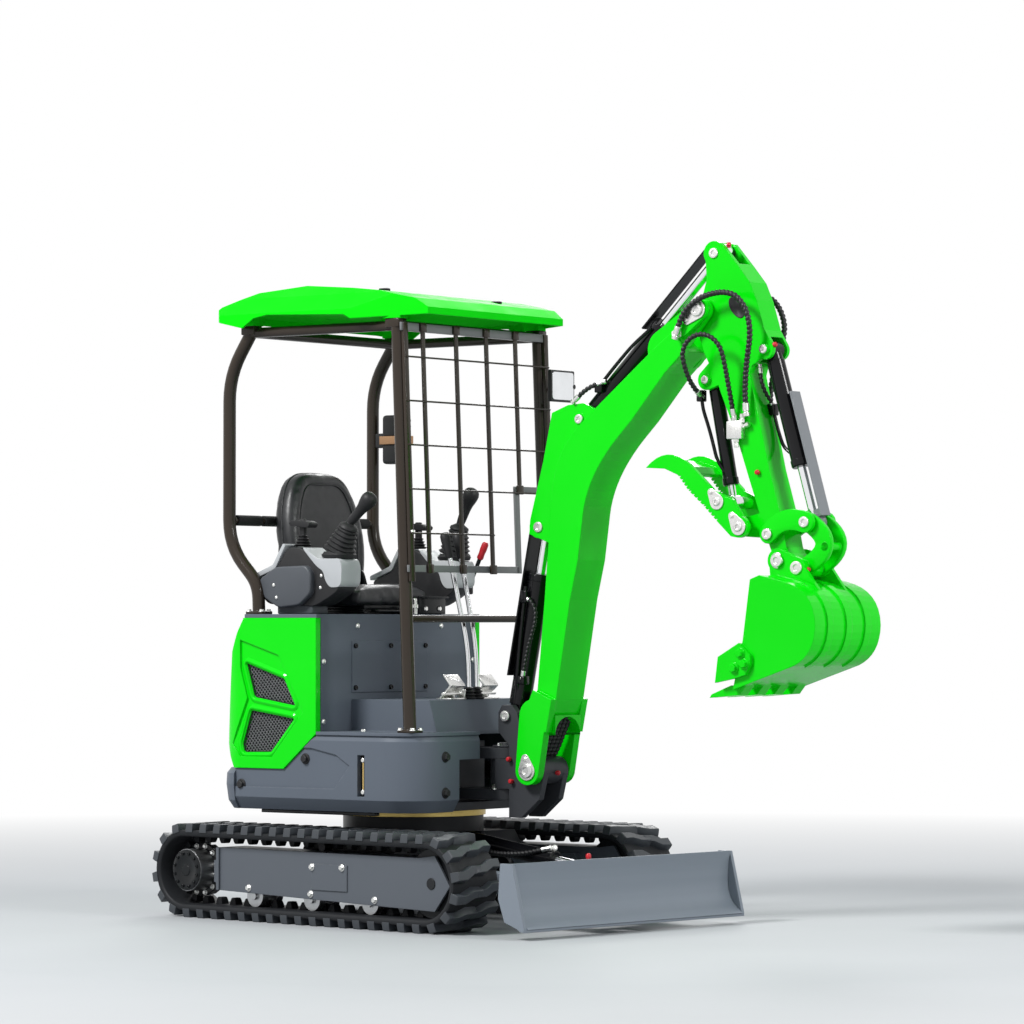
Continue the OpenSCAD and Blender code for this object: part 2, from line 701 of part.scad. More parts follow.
// Boom: box, rear flanges, fork foot and clevis head.
boom_side = concat([[582, 727], [641, 854], [673, 1180]],
    bend([705, 1560], [719, 1724], [850, 1828], 10),
    [[1153, 2069], [1240, 2130], [1300, 2070], [1205, 1985], [1061, 1822]],
    bend([1000, 1762], [864, 1626], [845, 1489], 10),
    [[822, 1324], [787, 1180], [724, 819], [690, 730]]);
boom_flange = [[700, 1376], [640, 1400], [585, 1420], [589, 1472], [648, 1682], [688, 1859], [760, 1885],
    [830, 1890], [894, 1862], [769, 1759], [715, 1644]];
module boom() {
    color("limegreen") upper() difference() {
        union() {
            difference() {
                slab(boom_w) polygon(boom_side);
                slab(152) { translate([500, 480]) square([300, 278]); at2([640, 758]) circle(60); }
            }
            pair(34, 95) {
                strap(boom_foot, 52, [640, 760], 60);
                polygon([[582, 727], [641, 854], [724, 819], [700, 700]]);
            }
            pair(18, 50) {
                polygon(boom_flange);
                at2(boom_cyl_top) circle(40);
                at2(arm_cyl_low) circle(44);
            }
            pair(24, 70) strap([1200, 2070], 70, arm_pivot, 40);
            pair(18, 90) strap([1290, 2140], 30, arm_pivot, 38);
            pin(boom_foot, 24, 236);
        }
        slab(64) at2(boom_cyl_top) circle(112);
        slab(84) strap(arm_cyl_low, 48, [1250, 2262], 48);
        slab(arm_w + 4) {
            at2(arm_pivot) circle(160);
            polygon([arm_pivot, [1300, 2300], [1500, 2300], [1500, 2000], [1300, 2000]]);
        }
    }
    color("silver") upper() {
        pin(arm_pivot, pin_r, 212);
        pin(arm_cyl_low, pin_r, 124);
    }
}
module boom_barrel() {
    color("black") upper() along(boom_cyl_low, boom_cyl_top) barrel(530, 40, 20, 34, 68, 44);
}
module boom_rod() {
    l = norm(boom_cyl_top - boom_cyl_low);
    color("silver") upper() along(boom_cyl_low, boom_cyl_top) {
        piston_rod(95, l, 20, 36, 60);
        rod_guard(l, 560, 46, 76);
    }
}

// Arm.
arm_side = [[1357, 2417], [1425, 2438], [1497, 2356], [1548, 2294], [1577, 2229], [1610, 2123],
    [1640, 2075], [1589, 2018], [1556, 1998], [1547, 1967], [1568, 1879], [1597, 1773], [1630, 1632],
    [1672, 1491], [1700, 1362], [1720, 1322], [1655, 1300], [1609, 1422], [1546, 1598], [1483, 1776],
    [1428, 1901], [1411, 1944], [1352, 2055], [1310, 2180], [1343, 2240], [1365, 2310], [1361, 2370]];
module arm() {
    color("limegreen") upper() difference() {
        union() {
            slab(arm_w) {
                polygon(arm_side);
                at2(arm_cyl_top) circle(43);
                at2(arm_pivot) circle(54);
                at2(bucket_cyl_top) circle(36);
                strap(thumb_cyl_top, 36, [1420, 1990], 50);
                at2(bucket_pivot) circle(33);
                strap(thumb_pivot, 34, [1612, 1440], 46);
            }
            pin(tip_pin, 30, arm_w + 4);
            pin(tip_pin, pin_r, 156);
            pin(bucket_pivot, 27, 2 * (ear_y - ear_t / 2 - gap));
            pin(bucket_pivot, pin_r, 2 * ear_y + ear_t + 14);
        }
        bore(arm_pivot, pin_r + run);
        slab(66) at2(arm_cyl_top) circle(104);
        slab(74) strap(bucket_cyl_top, 46, [1660, 1900], 46);
        slab(62) strap(thumb_cyl_top, 42, [1390, 1800], 40);
        bore(thumb_pivot, pin_r + run);
    }
    color("silver") upper() {
        pin(bucket_cyl_top, pin_r, 124);
        pin(thumb_cyl_top, pin_r, 124);
    }
}
module arm_barrel() {
    color("black") upper() along(arm_cyl_low, arm_cyl_top) barrel(470, 38, 19, 34, 78, 46);
}
module arm_rod() {
    l = norm(arm_cyl_top - arm_cyl_low);
    color("silver") upper() along(arm_cyl_low, arm_cyl_top) {
        piston_rod(355, l, 19, 36, 62);
        rod_guard(l, 410, 46, 60);
    }
}
thumb_edge = [[1221, 1643], [1277, 1620], [1320, 1567], [1384, 1512], [1439, 1459]];
module thumb() {
    color("limegreen") upper() {
        pair(18, 98) difference() {
            union() {
                polygon(concat(bend([1139, 1648], [1230, 1735], [1330, 1655], 8),
                    [[1427, 1565], [1511, 1528], [1557, 1457], [1532, 1395], [1503, 1400]],
                    [for (i = [4 : -1 : 0]) thumb_edge[i]]));
                at2(thumb_pivot) circle(38);
            }
            // saw teeth along the gripping edge
            for (i = [1 : 3], t = [0.1 : 0.22 : 0.98])
                at2((1 - t) * thumb_edge[i] + t * thumb_edge[i + 1])
                    rotate(47) polygon([[-9, -6], [9, -6], [-9, 8]]);
        }
        slab(200) polygon([[1235, 1675], [1310, 1650], [1330, 1625], [1315, 1615], [1235, 1655]]);
        pair(66, 57) at2(thumb_cyl_low) circle(22);
        pin(thumb_pivot, pin_r, 222);
    }
}
module thumb_barrel() {
    color("black") upper() along(thumb_cyl_top, thumb_cyl_low) barrel(380, 26, 13, 28, 50, 36);
}
module thumb_rod() {
    l = norm(thumb_cyl_low - thumb_cyl_top);
    color("silver") upper() along(thumb_cyl_top, thumb_cyl_low) piston_rod(60, l, 13, 26, 46);
}
module bucket_barrel() {
    color("black") upper() along(bucket_cyl_top, link_pin) barrel(430, 32, 16, 30, 58, 42);
}
module bucket_rod() {
    l = norm(link_pin - bucket_cyl_top);
    color("silver") upper() along(bucket_cyl_top, link_pin) {
        piston_rod(200, l, 16, 30, 54);
        rod_guard(l, 465, 42, 60);
    }
}
module tip_link() {
    color("limegreen") upper() difference() {
        union() {
            pair(18, 66) {
                strap(tip_pin, 34, [1700, 1450], 34);
                strap([1700, 1450], 34, link_pin, 38);
            }
        }
        bore(tip_pin, pin_r + run);
    }
}
module h_link() {
    color("limegreen") upper() difference() {
        union() {
            pair(22, 43) {
                strap(link_pin, 34, [1850, 1365], 27);
                strap([1850, 1365], 27, bucket_pin, 31);
            }
            slab(108) at2([1862, 1362]) circle(14);
            pair(28.8, 42.4) at2(link_pin) circle(pin_r);
            pin(bucket_pin, 31, 2 * (ear_y - ear_t / 2 - gap));
        }
        bore(bucket_pin, pin_r + run);
    }
}
// Ears of the bucket, and the side outline of its back, drawn in by a distance.
ear_t = 16;
ear_y = 85;
function bucket_back(d) = concat(bend([1780, 1242 - d], [1918 - d, 1213 - d], [1921 - d, 1090], 8),
                                 bend([1921 - d, 1090], [1918 - d, 985 + d], [1830, 948 + d], 8));
module bucket() {
    tooth_pitch = (bucket_w - 90) / 3;
    color("limegreen") upper() difference() {
        union() {
            slab(bucket_w) polygon(concat([[1652, 1248], [1690, 1262]], bucket_back(0),
                                          [[1580, 865], [1622, 1038]]));
            pair(ear_t, ear_y) {
                strap(bucket_pivot, 42, bucket_pin, 36);
                polygon([[1655, 1300], [1800, 1290], [1882, 1180], [1850, 1190], [1660, 1245]]);
            }
            // wear strips round the back, side cutters and teeth
            for (y = [-120, 0, 120]) slab(36, y)
                polygon(concat(bucket_back(-6), [[1830, 960], [1850, 1100]]));
            pair(16, bucket_w / 2 + 8) polygon([[1528, 979], [1616, 1028], [1662, 987], [1662, 952],
                                                [1641, 917], [1591, 903], [1516, 889]]);
            for (i = [-1.5 : 1 : 1.5]) slab(52, i * tooth_pitch)
                polygon([[1640, 900], [1595, 846], [1470, 836], [1478, 848], [1560, 880]]);
        }
        slab(bucket_w - 24) polygon(concat([[1600, 1234], [1690, 1246]], bucket_back(16), [[1560, 877]]));
        bore(bucket_pivot, pin_r + run);
        slab(2 * ear_y - ear_t) at2(bucket_pivot) circle(44);
    }
    color("silver") upper() pin(bucket_pin, pin_r, 2 * ear_y);
}

centre_frame();
track_frame(1);  // track_frame_l
track_frame(-1);  // track_frame_r
track(1);  // track_l
track(-1);  // track_r
sprocket(1);  // sprocket_l
sprocket(-1);  // sprocket_r
idler(1);  // idler_l
idler(-1);  // idler_r
rollers(1);  // rollers_l
rollers(-1);  // rollers_r
blade();
blade_barrel();
blade_rod();
slew_ring();
deck();
counterweight();
skirt(1);  // skirt_l
skirt(-1);  // skirt_r
cover(1);  // cover_l
cover(-1);  // cover_r
bonnet();
vent_panels();
seat_box();
floor_plate();  // floor
engine();
seat();
console(1);  // console_l
console(-1);  // console_r
joysticks();
travel_levers();
canopy_frame();
canopy_roof();
front_guard();
mirror();
lamp_box();
swing_barrel();
swing_rod();
swing_post();
boom();
boom_barrel();
boom_rod();
arm();
arm_barrel();
arm_rod();
thumb();
thumb_barrel();
thumb_rod();
bucket_barrel();
bucket_rod();
tip_link();
h_link();
bucket();
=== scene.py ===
"""Looks of a compact tracked excavator: paint, rubber, hoses, seat, fasteners and studio."""

import json
import math

import bmesh
import bpy
import numpy as np
from mathutils import Matrix, Vector


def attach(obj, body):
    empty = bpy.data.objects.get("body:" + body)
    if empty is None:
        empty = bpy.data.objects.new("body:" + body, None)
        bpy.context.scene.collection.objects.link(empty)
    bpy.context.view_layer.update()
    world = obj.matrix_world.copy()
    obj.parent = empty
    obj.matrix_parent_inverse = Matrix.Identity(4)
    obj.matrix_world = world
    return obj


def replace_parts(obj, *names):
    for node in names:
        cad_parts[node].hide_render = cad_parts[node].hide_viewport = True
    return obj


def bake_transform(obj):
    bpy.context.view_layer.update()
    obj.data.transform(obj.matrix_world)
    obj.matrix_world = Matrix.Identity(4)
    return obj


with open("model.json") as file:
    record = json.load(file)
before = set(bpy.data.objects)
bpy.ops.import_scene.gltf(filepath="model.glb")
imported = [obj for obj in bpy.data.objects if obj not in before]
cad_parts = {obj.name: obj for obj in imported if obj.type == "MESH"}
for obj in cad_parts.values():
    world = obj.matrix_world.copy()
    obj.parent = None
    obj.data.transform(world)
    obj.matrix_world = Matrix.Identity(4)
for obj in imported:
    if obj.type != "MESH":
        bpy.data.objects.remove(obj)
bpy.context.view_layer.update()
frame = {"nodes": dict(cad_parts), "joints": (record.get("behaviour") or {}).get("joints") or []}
nodes = frame["nodes"]
joints = {j["name"]: j for j in frame["joints"]}
scene = bpy.context.scene
scene.view_settings.view_transform = "Standard"
MM = 0.001

# The upper part stands turned about the slew axis. Both come from the joints.
SLEW = Vector((*joints["slew"]["pos_m"][:2], 0))
TURN = math.atan2(joints["boom"]["axis"][0], -joints["boom"]["axis"][1])
HOUSE = Matrix.Translation(SLEW) @ Matrix.Rotation(TURN, 4, "Z")
LOWER = Matrix.Translation(SLEW)
SIDES = ((1, "l"), (-1, "r"))


def house(x, y, z):
    """A point of the upper part, given in millimetres about the slew axis."""
    return HOUSE @ (Vector((x, y, z)) * MM)


def lower(x, y, z):
    """A point of the undercarriage, given in millimetres about the slew axis."""
    return LOWER @ (Vector((x, y, z)) * MM)


def facing(x, y, z):
    """A direction of the upper part."""
    return HOUSE.to_3x3() @ Vector((x, y, z))


def stand(x, y, z):
    """A frame at a point of the upper part, turned with it."""
    return Matrix.Translation(house(x, y, z)) @ HOUSE.to_3x3().to_4x4()


def add_object(name, data):
    thing = bpy.data.objects.new(name, data)
    scene.collection.objects.link(thing)
    return thing


# Node trees.


def feed(tree, socket, value):
    """Links a node's output to a socket, or writes a plain value on it."""
    if isinstance(value, bpy.types.NodeSocket):
        tree.links.new(value, socket)
    else:
        socket.default_value = value


def join(tree, kind, feeds=(), **settings):
    """Adds a node with its settings, and gives its sockets what feeds says."""
    node = tree.nodes.new(kind)
    for key, value in settings.items():
        setattr(node, key, value)
    for key, value in dict(feeds).items():
        feed(tree, node.inputs[key], value)
    return node


class Finish:
    """A node material, put together layer by layer; its slot is kept but not used."""

    def __init__(self, name, colour, rough, metal=0.0, gloss=0.5, slot=None):
        self.material = bpy.data.materials.new(name)
        self.material.use_nodes = True
        self.tree = self.material.node_tree
        self.shader = self.tree.nodes["Principled BSDF"]
        self.slot = slot
        self.base = colour
        self.colour = (*colour, 1)
        self.normal = None
        self.place = self.add("ShaderNodeTexCoord").outputs["Object"]
        for socket, value in (("Base Color", self.colour), ("Roughness", rough), ("Metallic", metal),
                              ("Specular IOR Level", gloss)):
            self.set(socket, value)

    def set(self, socket, value):
        feed(self.tree, self.shader.inputs[socket], value)
        return self

    def add(self, kind, feeds=(), **settings):
        return join(self.tree, kind, feeds, **settings)

    def noise(self, scale, detail=2.0, stretch=None):
        place = self.place
        if stretch:
            place = self.add("ShaderNodeMapping", {"Vector": place, "Scale": stretch}).outputs[0]
        node = self.add("ShaderNodeTexNoise", {"Vector": place, "Scale": scale, "Detail": detail})
        return node.outputs["Fac"]

    def span(self, value, low, high, start=0.3, stop=0.7):
        """Maps a stretch of a value onto low to high."""
        return self.add("ShaderNodeMapRange", {"Value": value, "From Min": start, "From Max": stop,
                                               "To Min": low, "To Max": high}).outputs[0]

    def tint(self, mask, colour):
        """Lays another colour over the base colour where the mask is 1."""
        mix = self.add("ShaderNodeMix", data_type="RGBA", feeds={0: mask, 6: self.colour, 7: (*colour, 1)})
        self.colour = mix.outputs[2]
        return self.set("Base Color", self.colour)

    def shade(self, scale, depth, detail=3.0):
        """Uneven tone: the base colour darkens by depth in soft patches."""
        return self.tint(self.noise(scale, detail), [channel * (1 - depth) for channel in self.base])

    def rough(self, low, high, scale, detail=2.0):
        return self.set("Roughness", self.span(self.noise(scale, detail), low, high))

    def turn_normal(self, node):
        self.normal = node.outputs[0]
        return self.set("Normal", self.normal)

    def soft_edges(self, radius):
        return self.turn_normal(self.add("ShaderNodeBevel", {"Radius": radius}, samples=4))

    def edge_wear_and_highlight(self, colour, amount):
        """Rubbed edges, lightened as wear and as a painted highlight, where the rounded normal leaves the face's
        own.
        """
        own = self.add("ShaderNodeNewGeometry").outputs["Normal"]
        dot = self.add("ShaderNodeVectorMath", {0: own, 1: self.normal}, operation="DOT_PRODUCT")
        edge = self.span(dot.outputs["Value"], amount, 0.0, 0.72, 0.97)
        patches = self.span(self.noise(60), 0.0, 1.0, 0.4, 0.6)
        worn_and_lit = self.add("ShaderNodeMath", {0: edge, 1: patches}, operation="MULTIPLY")
        return self.tint(worn_and_lit.outputs[0], colour)

    def bump(self, height, depth, strength):
        feeds = {"Strength": strength, "Distance": depth, "Height": height}
        if self.normal is not None:
            feeds["Normal"] = self.normal
        return self.turn_normal(self.add("ShaderNodeBump", feeds))

    def off_line(self, point, direction, radius):
        """Mask of what lies further than radius from a line."""
        rel = self.add("ShaderNodeVectorMath", {0: self.place, 1: point}, operation="SUBTRACT")
        cross = self.add("ShaderNodeVectorMath", {0: rel.outputs[0], 1: Vector(direction).normalized()},
                         operation="CROSS_PRODUCT")
        length = self.add("ShaderNodeVectorMath", {0: cross.outputs[0]}, operation="LENGTH")
        return self.span(length.outputs["Value"], 0.0, 1.0, radius - 0.0002, radius)


def enamel(name, colour, rough, gloss, wear_and_highlight, peel=0.00025, slot=None):
    """Sprayed paint: soft patches of tone, orange peel, rounded and slightly rubbed edges with a painted highlight.
    """
    finish = Finish(name, colour, rough, gloss=gloss, slot=slot)
    finish.shade(2.3, 0.10).rough(rough - 0.06, rough + 0.08, 9.0).soft_edges(0.004).edge_wear_and_highlight(wear_and_highlight, 0.35)
    return finish.bump(finish.noise(260.0, 1.0), peel, 0.35)


def bare_metal(name, colour, rough, stretch=None, scale=220.0, slot="zinc"):
    finish = Finish(name, colour, rough, metal=1.0, slot=slot)
    finish.shade(14.0, 0.18).rough(rough - 0.08, rough + 0.12, scale, 3.0).soft_edges(0.0015)
    return finish.bump(finish.noise(scale, 3.0, stretch), 0.0001, 0.3)


def moulded(name, colour, rough, grain=900.0, depth=0.00012, gloss=0.3, slot="plastic"):
    """Moulded plastic or rubber with a fine grain."""
    finish = Finish(name, colour, rough, gloss=gloss, slot=slot)
    finish.shade(5.0, 0.15).rough(rough - 0.08, rough + 0.08, 30.0).soft_edges(0.003)
    return finish.bump(finish.noise(grain, 2.0), depth, 0.6)


GREEN = (0.002, 0.66, 0.004)
# lighter green on the rubbed edges, partly a painted highlight
GREEN_WEAR_AND_HIGHLIGHT = (0.05, 0.80, 0.08)
ROD_CHROME = (0.82, 0.83, 0.85)
ROD_BLACK = (0.005, 0.005, 0.006)
# the last colour of each enamel lightens its rubbed edges, also as a painted highlight
green_paint = enamel("green_paint", GREEN, 0.15, 0.15, GREEN_WEAR_AND_HIGHLIGHT, slot="green_paint")
roof_paint = enamel("roof_paint", GREEN, 0.50, 0.05, GREEN_WEAR_AND_HIGHLIGHT)
charcoal_paint = enamel("charcoal_paint", (0.098, 0.114, 0.140), 0.46, 0.22, (0.22, 0.24, 0.27), 0.0006)
frame_paint = enamel("frame_paint", (0.088, 0.098, 0.114), 0.40, 0.3, (0.22, 0.23, 0.25))
post_paint = enamel("post_paint", (0.042, 0.044, 0.049), 0.42, 0.2, (0.16, 0.16, 0.17), slot="charcoal_paint")
chassis_paint = enamel("chassis_paint", (0.014, 0.015, 0.017), 0.40, 0.2, (0.10, 0.10, 0.10))
cylinder_paint = enamel("cylinder_paint", (0.004, 0.004, 0.005), 0.13, 0.24, (0.06, 0.06, 0.06), 0.00005,
                        "black_paint")
blade_paint = enamel("blade_paint", (0.190, 0.216, 0.252), 0.37, 0.4, (0.36, 0.38, 0.40))
board_paint = Finish("board_paint", (0.200, 0.226, 0.262), 0.3, gloss=0.4, slot="blade_paint")
board_paint.tint(board_paint.noise(24.0, 3.0, (1, 0.02, 1)), (0.165, 0.190, 0.222)).rough(0.30, 0.42, 9.0)
black_paint = enamel("black_paint", (0.007, 0.008, 0.009), 0.18, 0.22, (0.10, 0.10, 0.10), slot="black_paint")
tube_paint = enamel("tube_paint", (0.030, 0.022, 0.016), 0.16, 0.25, (0.12, 0.09, 0.06), 0.0001, "black_paint")
guard_paint = enamel("guard_paint", (0.16, 0.16, 0.165), 0.38, 0.2, (0.4, 0.4, 0.4), slot="guard_grey")
steel = bare_metal("turned_steel", (0.46, 0.47, 0.48), 0.37)
chrome = bare_metal("chrome_rod", ROD_CHROME, 0.12, (40, 40, 1), 60.0, "chrome")
zinc = bare_metal("zinc_plate", (0.78, 0.78, 0.76), 0.28)
yellow_zinc = bare_metal("yellow_zinc", (0.62, 0.47, 0.16), 0.35)
copper_bracket = bare_metal("copper_bracket", (0.42, 0.25, 0.14), 0.40)
brass = bare_metal("brass", (0.70, 0.50, 0.20), 0.30)
cast_iron = bare_metal("cast_iron", (0.10, 0.10, 0.105), 0.60, slot="cast_iron")
mirror_glass = bare_metal("mirror_glass", (0.86, 0.88, 0.90), 0.10, slot="chrome")
rubber = moulded("track_rubber", (0.034, 0.039, 0.046), 0.44, 420.0, 0.0004, 0.5, "rubber")
# belt and drive lugs darker than the outer lugs: painted shade in the gaps between the lugs
shaded_belt_rubber = moulded("shaded_belt_rubber", (0.012, 0.013, 0.015), 0.55, 420.0, 0.0004, 0.2, "rubber")
grip_rubber = moulded("grip_rubber", (0.012, 0.012, 0.013), 0.55, 1500.0, slot="rubber")
hose_rubber = moulded("hose_wrap", (0.014, 0.014, 0.015), 0.42, 1200.0, slot="rubber")
foam = moulded("foam_sleeve", (0.010, 0.010, 0.011), 0.8, 700.0, 0.0006, slot="rubber")
black_plastic = moulded("black_plastic", (0.016, 0.016, 0.017), 0.46)
grey_plastic = moulded("grey_plastic", (0.42, 0.43, 0.44), 0.42)
pod_plastic = moulded("pod_plastic", (0.070, 0.076, 0.086), 0.45)
red_plastic = moulded("red_plastic", (0.55, 0.02, 0.03), 0.35)
leather = moulded("seat_leather", (0.010, 0.011, 0.013), 0.38, 800.0, 0.00006, 0.5, "seat_cover")

# the carrier rollers, up under the belt, are black, the track rollers below are bare
roller_steel = bare_metal("roller_steel", (0.50, 0.51, 0.52), 0.34)
roller_height = roller_steel.add("ShaderNodeSeparateXYZ", {0: roller_steel.place}).outputs["Z"]
roller_steel.tint(roller_steel.span(roller_height, 0.0, 1.0, 0.18, 0.185), (0.012, 0.012, 0.013))

NODE_FINISH = {
    green_paint: "boom arm thumb bucket tip_link h_link cover_l cover_r bonnet",
    roof_paint: "canopy_roof",
    charcoal_paint: "counterweight skirt_l skirt_r seat_box floor",
    frame_paint: "track_frame_l track_frame_r",
    post_paint: "deck swing_post",
    chassis_paint: "centre_frame idler_l idler_r",
    blade_paint: "blade",
    cylinder_paint: "boom_barrel arm_barrel bucket_barrel thumb_barrel blade_barrel swing_barrel",
    black_paint: "vent_panels",
    tube_paint: "canopy_frame",
    guard_paint: "front_guard",
    roller_steel: "rollers_l rollers_r",
    steel: "sprocket_l sprocket_r",
    chrome: "thumb_rod blade_rod swing_rod travel_levers",
    yellow_zinc: "slew_ring",
    cast_iron: "engine",
    rubber: "track_l track_r",
    black_plastic: "seat mirror lamp_box console_l console_r",
    grip_rubber: "joysticks",
}


def coat(name, finish):
    materials = nodes[name].data.materials
    materials.clear()
    materials.append(finish.material)


def dress_nodes():
    for finish, names in NODE_FINISH.items():
        for name in names.split():
            coat(name, finish)
    # a rod's guard is painted, the rod itself is chrome
    for name, colour in (("boom", ROD_BLACK), ("arm", ROD_BLACK), ("bucket", (0.19, 0.20, 0.21))):
        start = Vector(joints[name + "_barrel_tilt"]["pos_m"])
        finish = Finish(name + "_rod_and_guard", ROD_CHROME, 0.16, gloss=0.25)
        guard = finish.off_line(start, joints[name + "_rod_slide"]["axis"], 0.024)
        finish.tint(guard, colour)
        finish.set("Metallic", finish.span(guard, 1.0, 0.0, 0.0, 1.0))
        finish.set("Roughness", finish.span(guard, 0.12, 0.22, 0.0, 1.0))
        finish.soft_edges(0.003).bump(finish.noise(240.0, 1.0), 0.00005, 0.3)
        coat(name + "_rod", finish)


# Camera, studio and light.

# where the photograph was taken from, seen from the slew axis
VIEW_TURN = math.radians(43.11)
VIEW_BACK = 15.734
VIEW_RIGHT = 0.368
VIEW_HEIGHT = 1.107
VIEW_PITCH = math.radians(1.47)
LENS = 148.05
FLOOR_RADIUS, FLOOR_SIDES = 60, 64
FADE_START, FADE_STOP = 2.6, 9.0
AIM = Vector((0, 0, 1.0))
# name, turn in degrees, height, distance, size and power
LAMPS = (("key_lamp", -14, 7.2, 6.8, 2.4, 960), ("side_lamp", 98, 4.5, 7.0, 2.0, 300),
         ("back_lamp", 215, 5.0, 7.0, 3.0, 150))


def photo_camera():
    data = bpy.data.cameras.new("photo_camera")
    data.lens = LENS
    data.clip_end = 200
    camera = add_object("photo_camera", data)
    level = Vector((-math.sin(VIEW_TURN), math.cos(VIEW_TURN), 0))
    right = Vector((math.cos(VIEW_TURN), math.sin(VIEW_TURN), 0))
    camera.location = SLEW - level * VIEW_BACK + right * VIEW_RIGHT + Vector((0, 0, VIEW_HEIGHT))
    gaze = level * math.cos(VIEW_PITCH) + Vector((0, 0, math.sin(VIEW_PITCH)))
    camera.rotation_mode = "QUATERNION"
    camera.rotation_quaternion = gaze.to_track_quat("-Z", "Y")
    scene.camera = camera


def seen_directly(tree):
    """1 for what is seen by the camera, in metal or through glass, 0 for what lights the object."""
    path = tree.nodes.new("ShaderNodeLightPath").outputs
    value = path["Is Camera Ray"]
    for kind in ("Is Glossy Ray", "Is Transmission Ray"):
        value = join(tree, "ShaderNodeMath", {0: value, 1: path[kind]}, operation="MAXIMUM").outputs[0]
    return value


def studio():
    """Pale floor that fades to white far out, white surroundings and three soft lamps."""
    mesh = bpy.data.meshes.new("studio_floor")
    turns = np.linspace(0, 2 * math.pi, FLOOR_SIDES + 1)[:-1]
    mesh.from_pydata([(FLOOR_RADIUS * math.cos(a), FLOOR_RADIUS * math.sin(a), 0) for a in turns], [],
                     [range(FLOOR_SIDES)])
    add_object("studio_floor", mesh)
    finish = Finish("studio_floor", (0.40, 0.41, 0.42), 0.7).shade(1.2, 0.08, 6.0)
    length = finish.add("ShaderNodeVectorMath", {0: finish.place}, operation="LENGTH")
    fade = finish.span(length.outputs["Value"], 0.0, 1.0, FADE_START, FADE_STOP)
    far = finish.add("ShaderNodeMath", {0: fade, 1: seen_directly(finish.tree)}, operation="MULTIPLY")
    lit = finish.add("ShaderNodeEmission")
    blend = finish.add("ShaderNodeMixShader", {0: far.outputs[0], 1: finish.shader.outputs[0],
                                               2: lit.outputs[0]})
    feed(finish.tree, finish.tree.nodes["Material Output"].inputs["Surface"], blend.outputs[0])
    mesh.materials.append(finish.material)

    scene.world = bpy.data.worlds.new("studio_world")
    scene.world.use_nodes = True
    tree = scene.world.node_tree
    soft = tree.nodes["Background"]
    soft.inputs["Color"].default_value = (0.84, 0.93, 1.0, 1)
    soft.inputs["Strength"].default_value = 0.55
    white = join(tree, "ShaderNodeBackground", {"Color": (1, 1, 1, 1), "Strength": 1.0})
    mix = join(tree, "ShaderNodeMixShader", {0: seen_directly(tree), 1: soft.outputs[0], 2: white.outputs[0]})
    feed(tree, tree.nodes["World Output"].inputs["Surface"], mix.outputs[0])

    for name, turn, height, distance, size, power in LAMPS:
        data = bpy.data.lights.new(name, "AREA")
        data.shape, data.size, data.energy = "DISK", size, power
        lamp = add_object(name, data)
        angle = math.radians(turn)
        lamp.location = Vector((math.sin(angle) * distance, -math.cos(angle) * distance, height))
        lamp.rotation_euler = (AIM - lamp.location).to_track_quat("-Z", "Y").to_euler()


# Mesh tools. Every piece is made in place, in the frame's own metres.


def finished(name, shape, finish, body="house", smooth=40):
    """Turns a bmesh or mesh into a piece that rides on a body and carries its finish's material."""
    mesh = shape
    if isinstance(shape, bmesh.types.BMesh):
        mesh = bpy.data.meshes.new(name)
        shape.to_mesh(mesh)
        shape.free()
    mesh.name = name
    finishes = finish if isinstance(finish, list) else [finish]
    if not mesh.materials:
        for one in finishes:
            mesh.materials.append(one.material)
    if smooth is not None:
        mesh.shade_smooth()
        mesh.set_sharp_from_angle(angle=math.radians(smooth))
    piece = add_object(name, mesh)
    if body:
        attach(piece, body)
    return piece


def along(start, direction):
    """A frame at start whose Z points along direction."""
    z = Vector(direction).normalized()
    x = Vector((0, 0, 1)) if abs(z.z) < 0.9 else Vector((1, 0, 0))
    y = z.cross(x).normalized()
    x = y.cross(z)
    return Matrix.Translation(start) @ Matrix((x, y, z)).transposed().to_4x4()


def skin(bm, rings, loop=False, smooth=False, index=0):
    """Faces between rings of points. The ends are closed, unless the rings run round in a loop."""
    rings = [[bm.verts.new(p) for p in ring] for ring in rings]
    faces = [] if loop else [bm.faces.new(rings[0]), bm.faces.new(rings[-1][::-1])]
    for a, b in zip(rings, rings[1:] + rings[:1] if loop else rings[1:]):
        faces += [bm.faces.new((a[i - 1], b[i - 1], b[i], a[i])) for i in range(len(a))]
    bmesh.ops.recalc_face_normals(bm, faces=faces)
    for face in faces:
        face.smooth = smooth
        face.material_index = index
    return faces


def lathe(bm, place, profile, sides=24, index=0):
    """Revolves (radius, height) pairs, in millimetres, about the Z axis of a frame."""
    rings = []
    for radius, height in profile:
        turns = [2 * math.pi * i / sides for i in range(sides if radius else 1)]
        rings.append([bm.verts.new(place @ (Vector((radius * math.cos(a), radius * math.sin(a), height)) * MM))
                      for a in turns])
    faces = [bm.faces.new(ring) for ring in (rings[0][::-1], rings[-1]) if len(ring) > 1]
    for a, b in zip(rings, rings[1:]):
        for i in range(sides):
            j = (i + 1) % sides
            # a ring on the axis is a single point
            corners = dict.fromkeys((a[i % len(a)], a[j % len(a)], b[j % len(b)], b[i % len(b)]))
            if len(corners) > 2:
                faces.append(bm.faces.new(list(corners)))
    for face in faces:
        face.material_index = index
        face.smooth = True


def smooth_line(points, step):
    """A smooth line through the points, sampled about every step."""
    p = np.array([tuple(q) for q in points], float)
    p = np.vstack([2 * p[0] - p[1], p, 2 * p[-1] - p[-2]])
    out = []
    for i in range(1, len(p) - 2):
        a, b, c, d = p[i - 1:i + 3]
        count = max(2, int(np.linalg.norm(c - b) / step))
        for t in np.arange(count) / count:
            out.append(0.5 * (2 * b + (c - a) * t + (2 * a - 5 * b + 4 * c - d) * t * t
                              + (3 * b - a - 3 * c + d) * t ** 3))
    out.append(p[-2])
    return np.array(out)


def steps_of(line):
    return np.linalg.norm(np.diff(line, axis=0), axis=1)


